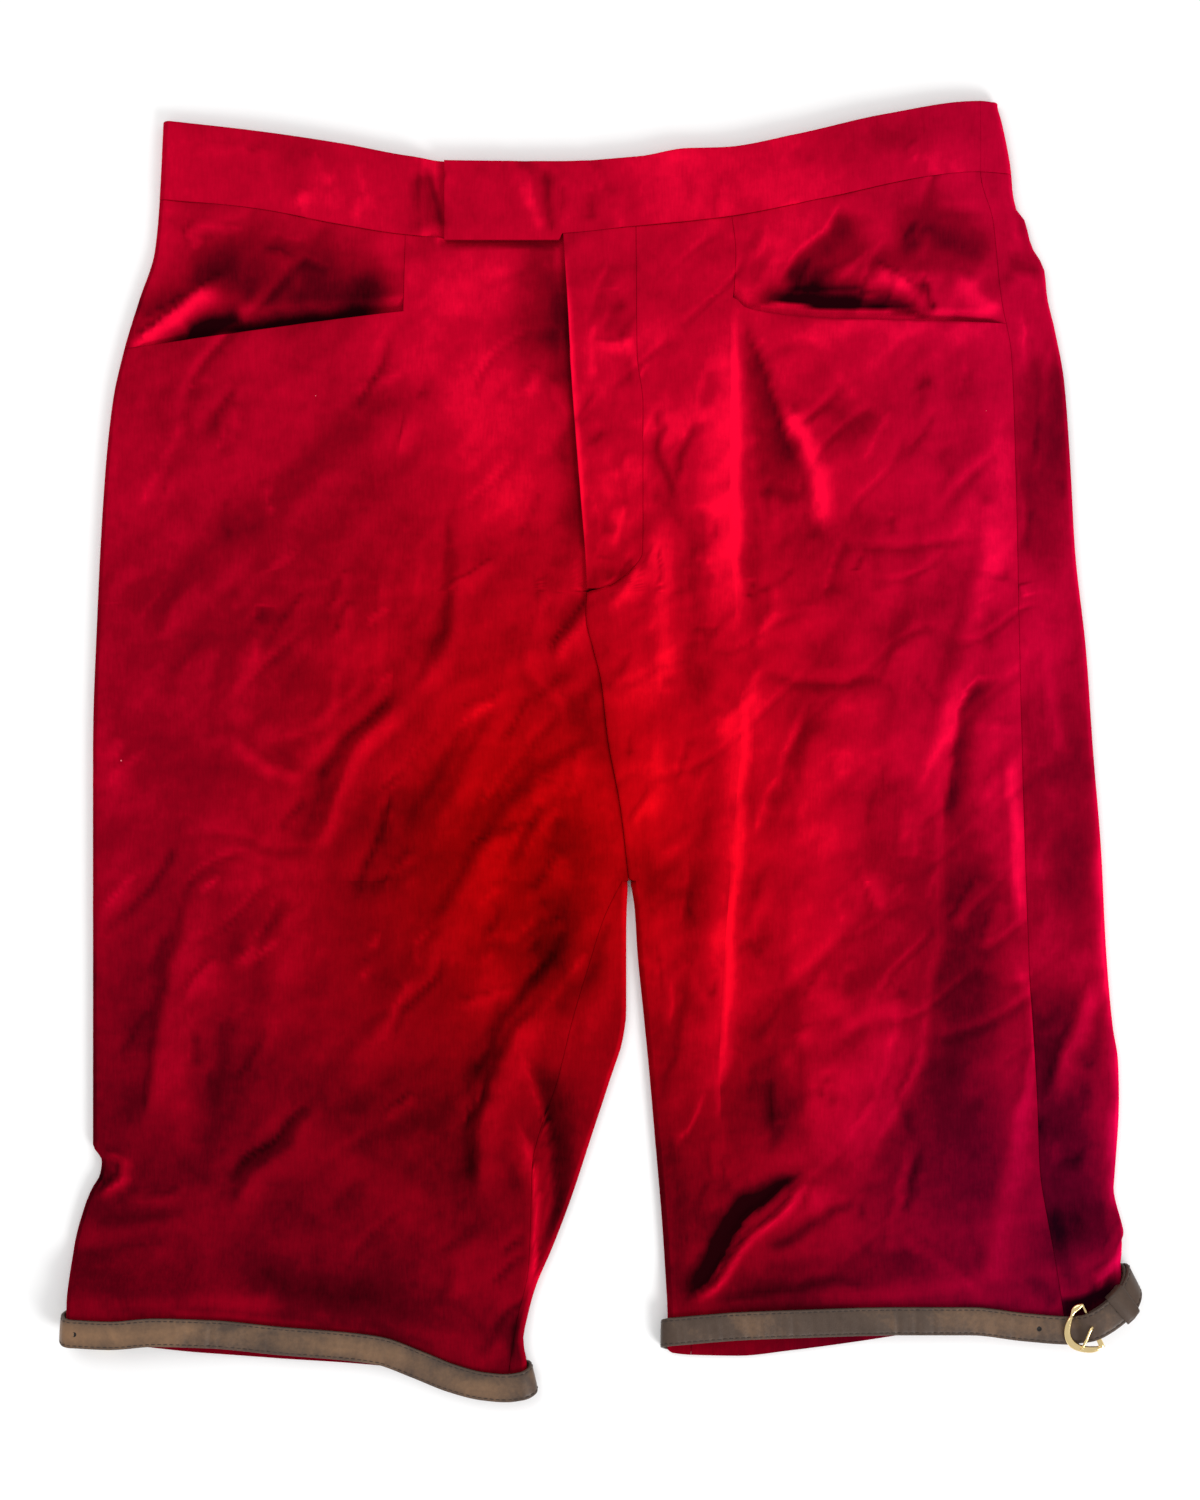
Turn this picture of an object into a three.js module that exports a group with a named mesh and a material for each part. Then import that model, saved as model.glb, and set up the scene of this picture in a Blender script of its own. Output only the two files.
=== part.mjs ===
import * as THREE from 'three';

// Knee-length velvet shorts with a buckled strap round each hem, laid flat with the front up.
// Millimetres, +Z up, waist towards +Y. Right and left are the wearer's, so the right half is at -X.

// Driving sizes
const velvet = 1.5;            // wall of one velvet panel
const bandWall = 2.2;          // waistband, pressed double
const leather = 1.8;           // strap thickness
const strapWide = 14;
const gap = 0.3;               // between neighbouring pieces
const edgeHigh = 5.6;          // height of the folded side edges
const edgeRound = 2.8;         // how far a folded edge rounds inwards
const crown = 1.9;             // extra height of the cloth in the middle of a leg
const crownReach = 45;
const leastHigh = 5.2;         // lowest a trough may sink, just clear of the back
const bandEdgeHigh = 6.6;
const bandCrown = 1.7;
const hemHigh = 6.4;           // front hem above the back hem's underside
const hemReach = 26;           // where a leg settles to the hem's plain section
const tuckedHigh = 5.3;        // front right panel where it is tucked under the fly and the tab
const facingHigh = 4;          // pocket facing behind a front panel
const turnUnder = 9;           // cloth that turns under a folded edge before its seam
const crotchY = -65.5;
const rowStep = 14;            // facets along a leg
const columnStep = 15;         // facets across a leg
const overStrap = 0.5;         // between the front and the strap that lies on it
const keeperRoom = { right: 2.4, left: 2.9 };    // a strap stands this far off the cloth inside its keeper
const flyFoot = 79.3;          // y where the fly's foot meets the centre seam
const tabRamp = 14;            // length over which the band under the tab steps down
const tabStep = [-18.8, -20.6];  // x where the tab's lower edge leaves the waist seam

const ease = (t) => THREE.MathUtils.smoothstep(t, 0, 1);
const mix = THREE.MathUtils.lerp;

// A smooth line through points given as [place along, value], level beyond its ends
function through(points) {
  const p = [...points].sort((a, b) => a[0] - b[0]);
  const steep = (i) => (p[i + 1][1] - p[i][1]) / (p[i + 1][0] - p[i][0]);
  const slopes = p.map((_, i) => {
    if (i === 0 || i === p.length - 1) return steep(i === 0 ? 0 : i - 1);
    const [before, after] = [steep(i - 1), steep(i)];
    return before * after <= 0 ? 0 : (2 * before * after) / (before + after);
  });
  return (t) => {
    if (t <= p[0][0]) return p[0][1];
    if (t >= p[p.length - 1][0]) return p[p.length - 1][1];
    const i = p.findIndex((q, k) => k < p.length - 1 && t < p[k + 1][0]);
    const span = p[i + 1][0] - p[i][0];
    const s = (t - p[i][0]) / span;
    const bow = slopes[i] * s * (1 - s) * (1 - s) - slopes[i + 1] * s * s * (1 - s);
    return mix(p[i][1], p[i + 1][1], s * s * (3 - 2 * s)) + span * bow;
  };
}
const shifted = (line, by) => (t) => line(t) + by;

// Outlines seen from above, from the waist down: y, x
const outerEdge = {
  right: through([[316, -219], [276, -221], [250, -223.5], [225, -231.5], [200, -239], [175, -244.5],
    [137, -248.5], [75, -252], [0, -254.5], [-198, -254.5], [-220, -255], [-230, -259], [-250, -264],
    [-275, -266]]),
  left: through([[322, 199.5], [313, 202], [288, 206.5], [271, 209], [266, 213], [253, 216.5], [241, 223],
    [212, 228], [185, 233], [145, 236], [100, 238.5], [50, 244], [0, 247.5], [-50, 251.5], [-100, 254],
    [-150, 259.5], [-175, 260.5], [-217, 258], [-227, 258.5], [-237, 261.5], [-250, 258.8], [-264, 260.5]]),
};
const innerEdge = {
  right: through([[-65, 14.1], [-91, 13.2], [-131, 13.2], [-145, 11.5], [-164, 5.5], [-193, -4], [-225, -14.5],
    [-250, -24], [-270, -32.5], [-287, -37], [-295, -38.5], [-307, -36.5]]),
  left: through([[-65, 15], [-79, 17.3], [-102, 18.8], [-132, 21.8], [-165, 25], [-194, 27.5], [-239, 31.3],
    [-279, 33.8]]),
};
const centreSeam = through([[79.3, -6.5], [67, -7], [51, -3.5], [35, 0.5], [5, 4], [-27, 10], [-65, 14.5]]);
const flyEdge = through([[262, -18.7], [220, -16], [182, -14], [130, -10], [91, -7], [79.3, -6.6]]);
const flySeam = through([[262, 18], [199, 18.5], [173, 21.5], [110, 21.5], [98.5, 21], [90.5, 16], [86, 11],
  [83, 6.5], [80.8, 0], [79.3, -6.5]]);
const flyRows = [90.5, 86, 83, 80.8, flyFoot];    // rows that turn the foot of the fly
const yokeRows = [0, 0.25, 0.5, 0.75, 0.93, 0.995, 1.05, 1.1];    // pocket mouth at 1, facing below it
const yokeFoot = 0.996;        // where a yoke ends beside its facing
const sideSeam = through([[325, 190.5], [289, 190.5], [264, 197], [228, 200.5], [197, 206], [145, 208],
  [32, 210.5], [-75, 213.5], [-121, 215.5], [-179, 219], [-241, 225], [-282, 231.5]]);
const inseam = through([[-65.5, 11], [-84, 2], [-109, -6], [-132, -13], [-164, -21], [-209, -34],
  [-240, -35], [-260, -36], [-287, -42], [-309, -45.5]]);
const yokeSeam = {
  right: through([[258, -97.5], [219, -98.5], [-65, -108], [-300, -135]]),
  left: through([[267, 66], [249, 68], [230, 67], [217, 65.5], [158, 65], [95, 67], [18, 71], [-58, 65.5],
    [-154, 60], [-212, 61.5], [-300, 58]]),
};
const centreBack = 14.5;

// Edges and seams that run across, from the wearer's right: x, y
const bandTop = through([[-220, 315.5], [-178, 310.5], [-127, 303], [-98, 297.5], [-77, 295], [-21, 294.5],
  [20, 297], [43, 301], [62, 301.5], [98, 308], [142, 318], [190, 325], [198, 324], [202, 318]]);
const waistSeam = through([[-221, 276], [-176, 271.5], [-127, 262.5], [-98, 258], [-77, 256.5], [-18, 258.5],
  [16, 262], [64, 267], [118, 277.5], [167, 287.5], [190, 289.5], [206, 288.5]]);
const tabFoot = 255.2;
const tabEnd = -78;
const pocketMouth = {
  right: through([[-238, 201], [-184, 208.5], [-99, 219.5], [-50, 224], [20, 226]]),
  left: through([[-7, 232], [21, 230], [67, 226.5], [73, 221.5], [87, 218.5], [114, 216], [167, 214.5],
    [203, 213.5], [226, 212.5]]),
};
const strapMiddle = {
  right: through([[-265, -290], [-243, -291], [-222, -289.5], [-194, -291], [-165, -294.5], [-127, -297.7],
    [-110, -300], [-92, -306.5], [-73, -314], [-58, -317.7], [-47, -318.6], [-33, -316.5]]),
  left: through([[33, -290.7], [70, -287.7], [94, -286.7], [150, -285.2], [185, -285.2], [212, -288],
    [234, -289.3], [243, -287], [252, -282], [260, -275.5], [266, -270.5]]),
};
const strapTop = {
  right: shifted(strapMiddle.right, strapWide / 2),
  left: shifted(strapMiddle.left, strapWide / 2),
};
const backHem = {
  right: through([[-265, -295], [-213, -297], [-184, -300.5], [-157, -303], [-127, -305], [-102, -307.5],
    [-75, -316.5], [-50, -323.5], [-33, -320]]),
  left: through([[32, -302], [45, -303.5], [70, -304], [94, -301.5], [128, -297], [157, -292.5], [200, -286],
    [234, -279], [264, -270]]),
};

// The largest folds: from x, y to x, y, how far the middle bows to the left of that way, rise, half width
const folds = [
  [-108, 206, -124, 168, 0, -1.6, 7],
  [-76, 128, -91, 39, -8, -2.4, 12],
  [-66, 122, -74, 45, -8, 2.6, 11],
  [-106, 32, -145, -16, 6, -2.4, 11],
  [-187, 9, -150, -17, 0, 2.2, 11],
  [-124, 2, -142, -46, 4, 2.6, 10],
  [-117, -30, -124, -75, 0, -2.2, 9],
  [2, 3, -70, -57, 8, 3.2, 12],
  [-165, -44, -135, -53, 0, -2.0, 8],
  [-217, -93, -224, -146, -3, 3.2, 10],
  [-233, -91, -234, -125, 0, -1.8, 9],
  [-70, -96, -104, -128, 3, 2.6, 11],
  [-19, -93, -65, -188, 10, -2.6, 12],
  [-35, -130, -63, -188, 4, 3.4, 11],
  [-44, -182, -33, -222, 3, 4.2, 10],
  [-165, -215, -90, -240, 0, 2.4, 22],
  [67, 155, 64, -58, -4, 3.0, 9],
  [62, -58, 60, -212, -4, 2.4, 10],
  [77, 41, 150, 34, 2, -1.8, 7],
  [126, 101, 188, 104, 0, -1.8, 7],
  [104, 26, 80, -39, -4, -2.2, 11],
  [191, 103, 168, 32, 2, 2.8, 12],
  [199, 35, 172, -42, 12, 2.6, 10],
  [91, -55, 110, -199, -4, 2.6, 12],
  [112, -200, 34, -281, -6, 4.6, 12],
  [68, -236, 36, -276, 0, -2.4, 9],
  [176, -88, 122, -228, -8, -2.8, 13],
  [158, -110, 110, -215, -6, 2.2, 13],
  [21, 120, 24, 50, 0, 2.2, 9],
  [-226, 86, -130, 60, 0, 2.0, 24],
  [-200, 262, -160, 236, 0, -1.8, 15],
  [-228, 212, -188, 230, 6, 2.4, 7],
  [-196, 216, -120, 226, 0, -1.6, 7],
  [122, 274, 88, 236, 0, -2.0, 10],
  [138, 238, 166, 220, 0, 2.2, 8],
  [150, 255, 192, 252, 0, -1.6, 14],
  [-30, 200, -60, 120, 0, 2.0, 20],
];

function foldRise([x0, y0, x1, y1, bow, rise, half], x, y) {
  const long = Math.hypot(x1 - x0, y1 - y0);
  const along = ((x - x0) * (x1 - x0) + (y - y0) * (y1 - y0)) / (long * long);
  if (along < -0.2 || along > 1.2) return 0;
  const side = ((x1 - x0) * (y - y0) - (y1 - y0) * (x - x0)) / long - 4 * bow * along * (1 - along);
  const fade = ease((along + 0.2) / 0.45) * ease((1.2 - along) / 0.45);
  return rise * fade * Math.exp(-((side / half) ** 2));
}

// A leg's underside lifts over the strap that passes below its hem, and more where the strap's ends lie doubled
function lift(side, x, y) {
  const over = ease((backHem[side](x) + strapWide + 8 + hemReach - y) / hemReach);
  const folded = side === 'right' ? 6.2 * ease((-165 - x) / 60) : 2.6 * ease((x - 190) / 60);
  return (leather + gap + folded) * over;
}

// Height of the top layer's outer face
function topHeight(side, x, y) {
  const inside = y > crotchY ? Math.hypot(x - centreBack, y - crotchY) : Math.abs(x - innerEdge[side](y));
  const d = Math.min(Math.abs(x - outerEdge[side](y)), inside);
  let rise = 0;
  for (const fold of folds) rise += foldRise(fold, x, y);
  const raw = edgeHigh + crown * ease(d / crownReach) + rise * ease(d / 14) - leastHigh;
  const high = leastHigh + (raw + Math.sqrt(raw * raw + 0.6)) / 2;
  const hem = ease((strapTop[side](x) + hemReach - y) / hemReach);
  return mix(high, hemHigh, hem) + lift(side, x, y);
}

const bandHeight = (x) => {
  const d = Math.min(x - outerEdge.right(290), outerEdge.left(300) - x);
  const creases = 0.5 * Math.exp(-(((x + 10) / 9) ** 2)) - 0.5 * Math.exp(-(((x + 24) / 6) ** 2));
  return bandEdgeHigh + bandCrown * ease(d / 70) + creases;
};

// One piece of cloth on a net of columns and rows. Each stretch gives the outer face as point(t, v), t running
// 0 to 1 across it. A cell is left out where its stretch does not reach that row, or has a hole there
function clothPiece(name, material, wall, turn, stretches, rows) {
  const columns = [];
  stretches.forEach((stretch, s) => {
    for (let k = s === 0 ? 0 : 1; k <= stretch.count; k += 1) columns.push({ stretch, t: k / stretch.count });
  });
  const vertices = [];
  const index = new Map();
  const put = (i, j, inner) => {
    const key = `${i},${j},${inner}`;
    if (!index.has(key)) {
      const { stretch, t } = columns[i];
      const at = (dt, dv) => stretch.point(t + dt, rows[j] + dv);
      const point = at(0, 0);
      if (inner) {
        const e = 0.004;
        const across = at(t > 0.5 ? 0 : e, 0).sub(at(t > 0.5 ? -e : 0, 0));
        const down = at(0, j > 0 ? 0 : e).sub(at(0, j > 0 ? -e : 0));
        point.addScaledVector(across.cross(down).normalize(), -turn * wall);
      }
      index.set(key, vertices.length / 3);
      vertices.push(point.x, point.y, point.z);
    }
    return index.get(key);
  };
  const has = (i, j) => {
    if (i < 0 || j < 0 || i > columns.length - 2 || j > rows.length - 2) return false;
    const { from = -Infinity, to = Infinity, holes = [] } = columns[i + 1].stretch;
    const middle = (rows[j] + rows[j + 1]) / 2;
    return middle > from && middle < to && !holes.some(([start, end]) => middle > start && middle < end);
  };
  const faces = [];
  const quad = (a, b, c, d) => (turn > 0 ? faces.push(a, b, c, a, c, d) : faces.push(a, c, b, a, d, c));
  for (let i = 0; i < columns.length - 1; i += 1) {
    for (let j = 0; j < rows.length - 1; j += 1) {
      if (!has(i, j)) continue;
      const ring = [[i, j], [i + 1, j], [i + 1, j + 1], [i, j + 1]];
      const outer = ring.map(([a, b]) => put(a, b, false));
      const inner = ring.map(([a, b]) => put(a, b, true));
      quad(...outer);
      quad(inner[3], inner[2], inner[1], inner[0]);
      [[i, j - 1], [i + 1, j], [i, j + 1], [i - 1, j]].forEach(([a, b], k) => {
        const next = (k + 1) % 4;
        if (!has(a, b)) quad(outer[next], outer[k], inner[k], inner[next]);
      });
    }
  }
  const geometry = new THREE.BufferGeometry();
  geometry.setAttribute('position', new THREE.Float32BufferAttribute(vertices, 3));
  geometry.setIndex(faces);
  geometry.computeVertexNormals();
  const mesh = new THREE.Mesh(geometry, material);
  mesh.name = name;
  return mesh;
}

// Row lines of one leg, by v: 0 waist seam, 1 pocket mouth, 2 crotch, 3 top of the strap, 4 hem
function rowLine(side, under) {
  const strap = (x) => (under ? backHem[side](x) + strapWide : strapTop[side](x));
  const hem = (x) => (under ? backHem[side](x) : strapTop[side](x) - strapWide + 1);
  const lines = [shifted(waistSeam, -gap / 2), pocketMouth[side], () => crotchY, strap, hem];
  return (v, x) => {
    const k = Math.min(Math.max(Math.floor(v), 0), 3);
    return mix(lines[k](x), lines[k + 1](x), v - k);
  };
}

function rowsOf(side) {
  const mouth = pocketMouth[side](10);
  const toRow = (y) => 1 + (mouth - y) / (mouth - crotchY);
  const rows = [0, 0.25, 0.5, 0.75, 1];
  const between = (top, foot) => {
    const n = Math.round((top - foot) / rowStep);
    for (let k = 1; k <= n; k += 1) rows.push(toRow(mix(top, foot, k / n)));
  };
  if (side === 'left') {
    between(mouth, 98.5);
    flyRows.forEach((y) => rows.push(toRow(y)));
    between(flyRows[4], crotchY);
  } else {
    between(mouth, crotchY);
  }
  const legRows = Math.round(215 / rowStep);
  for (let k = 1; k <= legRows; k += 1) rows.push(2 + k / legRows);
  rows.push(3.5, 4);
  return rows;
}

// Stretches of a leg's flattened tube: its top, its underside, and the round edges between them
function flatStretch(side, under, fromLine, toLine, more = {}) {
  const row = rowLine(side, under);
  const settle = more.settle ?? ((x, y, z) => z);
  const point = (t, v) => {
    let y = row(v, side === 'right' ? -120 : 120);
    let x = 0;
    for (let k = 0; k < 8; k += 1) {
      x = mix(fromLine(y), toLine(y), t);
      y = row(v, x);
    }
    const z = under ? lift(side, x, y) : settle(x, y, topHeight(side, x, y));
    return new THREE.Vector3(x, y, z);
  };
  const wide = Math.abs(fromLine(0) - toLine(0));
  return { count: Math.max(1, Math.round(wide / columnStep)), ...more, point };
}

function edgeStretch(side, tangent, out, fromTop, more = {}) {
  const top = flatStretch(side, false, tangent, tangent);
  const bottom = flatStretch(side, true, tangent, tangent);
  const point = (t, v) => {
    const angle = Math.PI * (fromTop ? t : 1 - t);
    const [a, b] = [top.point(0, v), bottom.point(0, v)];
    const p = a.lerp(b, (1 - Math.cos(angle)) / 2);
    p.x += out * edgeRound * Math.sin(angle);
    return p;
  };
  return { count: 4, ...more, point };
}

const outerTangent = {
  right: shifted(outerEdge.right, edgeRound),
  left: shifted(outerEdge.left, -edgeRound),
};
const innerTangent = {
  right: shifted(innerEdge.right, -edgeRound),
  left: shifted(innerEdge.left, edgeRound),
};
// Lines down the flat back between which it slopes to the strap's doubled ends
const backFold = {
  right: { outer: through([[276, -204], [-165, -225], [-300, -225]]), inner: through([[276, -150], [-165, -165]]) },
  left: { outer: through([[276, 190], [-165, 248], [-300, 248]]), inner: through([[276, 130], [-165, 190]]) },
};
const turned = (y) => 1 + (turnUnder - 1) * ease((crotchY - y) / 60);

// The front right panel is tucked under the fly and under the waistband's tab
const underFly = (x, y, z) => {
  const beside = ease((x - flyEdge(y) + 17) / 12) * ease((y - 60) / 14);
  const underTab = ease((x - tabEnd + 8) / 8) * ease((y - 244) / 7);
  return mix(z, tuckedHigh, Math.max(beside, underTab));
};
// A yoke runs on below its pocket mouth, behind the front panel, as the pocket's facing
const behindMouth = (side) => (x, y, z) => {
  const d = side === 'right' ? x - outerTangent.right(y) : sideSeam(y) - x;
  return mix(z, facingHigh, ease((pocketMouth[side](x) + 12 - y) / 11) * ease((d - 1) / 8));
};

const red = new THREE.MeshStandardMaterial({ color: 0x9c0a22, roughness: 0.85, metalness: 0 });
const redBand = new THREE.MeshStandardMaterial({ color: 0xa80c26, roughness: 0.85, metalness: 0 });
const brown = new THREE.MeshStandardMaterial({ color: 0x5e4a40, roughness: 0.5, metalness: 0 });
const gold = new THREE.MeshStandardMaterial({ color: 0xd8ac4a, roughness: 0.2, metalness: 1 });

function rightHalf() {
  const side = 'right';
  const rows = rowsOf(side);
  const mouthRow = 1;
  const frontLines = shifted(yokeSeam.right, gap / 2);
  const centre = (y) => (y > flyFoot ? flySeam(y) - 3.5 : y > crotchY ? centreSeam(y) - 0.5 : inseam(y));
  const outer = outerTangent.right;
  const seam = shifted(outer, turnUnder);
  const inner = (y) => (y > crotchY ? centreBack - gap / 2 : innerTangent.right(y));
  const below = (lines) => ({ ...lines, from: mouthRow });
  const front = clothPiece('front_right', red, velvet, -1, [
    flatStretch(side, true, shifted(seam, -gap / 2), outer, below({ count: 1 })),
    edgeStretch(side, outer, -1, false, below({})),
    flatStretch(side, false, outer, frontLines, below({ settle: underFly })),
    flatStretch(side, false, frontLines, centre, { settle: underFly }),
  ], rows);
  const nearOuter = shifted(outer, 13);
  const yokeEnd = shifted(yokeSeam.right, -gap / 2);
  const upper = { to: yokeFoot };
  const settle = behindMouth(side);
  const yoke = clothPiece('yoke_right', red, velvet, -1, [
    flatStretch(side, true, shifted(seam, -gap / 2), outer, { ...upper, count: 1 }),
    edgeStretch(side, outer, -1, false, upper),
    flatStretch(side, false, outer, nearOuter, { ...upper, settle }),
    flatStretch(side, false, nearOuter, shifted(yokeEnd, -4), { settle }),
    flatStretch(side, false, shifted(yokeEnd, -4), yokeEnd, { ...upper, settle }),
  ], yokeRows);
  const leg = { from: 2 };
  const back = clothPiece('back_right', red, velvet, 1, [
    flatStretch(side, true, shifted(seam, gap / 2), backFold.right.outer, { count: 1 }),
    flatStretch(side, true, backFold.right.outer, backFold.right.inner, { count: 3 }),
    flatStretch(side, true, backFold.right.inner, inner, { count: 3 }),
    edgeStretch(side, innerTangent.right, 1, false, leg),
    flatStretch(side, false, innerTangent.right, shifted(inseam, gap), { ...leg, count: 2 }),
  ], rows);
  return [front, yoke, back];
}

function leftHalf() {
  const side = 'left';
  const rows = rowsOf(side);
  const outer = outerTangent.left;
  const inner = innerTangent.left;
  const centre = (y) => {
    if (y > flyFoot + 0.05) return flySeam(y) + gap / 2;
    return y > crotchY ? centreSeam(y) + gap / 2 : inner(y);
  };
  const pleat = shifted(yokeSeam.left, -gap / 2);
  const side1 = shifted(sideSeam, -gap / 2);
  const leg = { from: 2 };
  const legSeam = (y) => inner(y) + turned(y);
  const front = clothPiece('front_left', red, velvet, 1, [
    flatStretch(side, false, side1, pleat, { from: 1 }),
    flatStretch(side, false, pleat, centre),
    edgeStretch(side, inner, -1, true, leg),
    flatStretch(side, true, inner, shifted(legSeam, -gap / 2), { ...leg, count: 1 }),
  ], rows);
  const yokeStart = shifted(yokeSeam.left, gap / 2);
  const upper = { to: yokeFoot };
  const settle = behindMouth(side);
  const yoke = clothPiece('yoke_left', red, velvet, 1, [
    flatStretch(side, false, side1, shifted(side1, -9), { ...upper, settle }),
    flatStretch(side, false, shifted(side1, -9), shifted(yokeStart, 4), { settle }),
    flatStretch(side, false, shifted(yokeStart, 4), yokeStart, { ...upper, settle }),
  ], yokeRows);
  const innerLine = (y) => (y > crotchY + 0.01 ? centreBack + gap / 2 : legSeam(y) + gap / 2);
  const back = clothPiece('back_left', red, velvet, 1, [
    flatStretch(side, true, innerLine, backFold.left.inner, { count: 3 }),
    flatStretch(side, true, backFold.left.inner, backFold.left.outer, { count: 3 }),
    flatStretch(side, true, backFold.left.outer, outer, { count: 1 }),
    edgeStretch(side, outer, 1, false),
    flatStretch(side, false, outer, shifted(sideSeam, gap / 2), { count: 2 }),
  ], rows);
  const flyPart = rows.filter((v) => rowLine(side, false)(v, 0) > 80.5);
  const fly = clothPiece('fly_overlap', red, velvet, 1, [
    flatStretch(side, false, shifted(flySeam, -gap / 2), flyEdge, { count: 4 }),
  ], flyPart);
  return [front, yoke, back, fly];
}

// Waistband, by v: 0 top edge, 1 waist seam
function bandStretch(under, fromX, toX, more = {}) {
  const foot = more.foot ?? ((x) => waistSeam(x) + gap / 2);
  const drop = more.drop ?? (() => 0);
  const wide = Math.abs(fromX(300) - toX(300));
  const point = (t, v) => {
    let y = 295;
    let x = 0;
    for (let k = 0; k < 6; k += 1) {
      x = mix(fromX(y), toX(y), t);
      y = mix(bandTop(x) - (under ? 1 : 0), foot(x), v);
    }
    return new THREE.Vector3(x, y, under ? 0 : bandHeight(x) - drop(x));
  };
  return { count: Math.max(1, Math.round(wide / columnStep)), ...more, point };
}

function bandEdge(tangent, out, fromTop) {
  const top = bandStretch(false, tangent, tangent);
  const bottom = bandStretch(true, tangent, tangent);
  const point = (t, v) => {
    const angle = Math.PI * (fromTop ? t : 1 - t);
    const p = top.point(0, v).lerp(bottom.point(0, v), (1 - Math.cos(angle)) / 2);
    p.x += out * (bandEdgeHigh / 2) * Math.sin(angle);
    return p;
  };
  return { count: 4, point };
}

function waistband() {
  const round = bandEdgeHigh / 2;
  const rightTangent = shifted(outerEdge.right, round);
  const leftTangent = shifted(outerEdge.left, -round);
  const backSeam = shifted(rightTangent, turnUnder);
  const rows = [0, 0.5, 1];
  const at = (x) => () => x;
  const drop = (x) => (bandWall + 3 * gap) * ease((x - tabEnd + tabRamp) / (tabRamp - 2));
  const frontRight = clothPiece('waistband_front_right', redBand, bandWall, -1, [
    bandStretch(true, shifted(backSeam, -gap / 2), rightTangent, { count: 1 }),
    bandEdge(rightTangent, -1, false),
    bandStretch(false, rightTangent, at(tabEnd - tabRamp)),
    bandStretch(false, at(tabEnd - tabRamp), at(tabEnd), { drop, count: 3 }),
    bandStretch(false, at(tabEnd), at(0), { drop }),
  ], rows);
  const foot = (x) => mix(tabFoot, waistSeam(x) + gap / 2, ease((x - tabStep[1]) / (tabStep[0] - tabStep[1])));
  const frontLeft = clothPiece('waistband_front_left', redBand, bandWall, 1, [
    bandStretch(false, shifted(sideSeam, -gap / 2), at(tabStep[0])),
    bandStretch(false, at(tabStep[0]), at(tabStep[1]), { foot, count: 1 }),
    bandStretch(false, at(tabStep[1]), at(tabEnd), { foot }),
  ], rows);
  const back = clothPiece('waistband_back', redBand, bandWall, 1, [
    bandStretch(true, shifted(backSeam, gap / 2), backFold.right.outer, { count: 1 }),
    bandStretch(true, backFold.right.outer, backFold.right.inner, { count: 3 }),
    bandStretch(true, backFold.right.inner, at(centreBack), { count: 3 }),
    bandStretch(true, at(centreBack), backFold.left.inner, { count: 3 }),
    bandStretch(true, backFold.left.inner, backFold.left.outer, { count: 3 }),
    bandStretch(true, backFold.left.outer, leftTangent, { count: 1 }),
    bandEdge(leftTangent, 1, false),
    bandStretch(false, leftTangent, shifted(sideSeam, gap / 2), { count: 1 }),
  ], rows);
  return [frontRight, frontLeft, back];
}

// The strap's way round a hem, from the inner edge over the front, round the outer edge and back under the
// leg. at(s, w, o) is s along it from the buckle's bar, w across it and o out from its inner face
const buckleAt = { right: -243, left: 247 };
const proud = { right: { outer: 1.5, inner: 2.4 }, left: { outer: 4.1, inner: 1.7 } };

const flatStations = 110;      // along a strap's top or underside
const bendStations = 24;       // round a hem's edge
const firstBend = [flatStations, flatStations + bendStations];
const secondBend = [firstBend[1] + flatStations, 2 * firstBend[1]];

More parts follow.
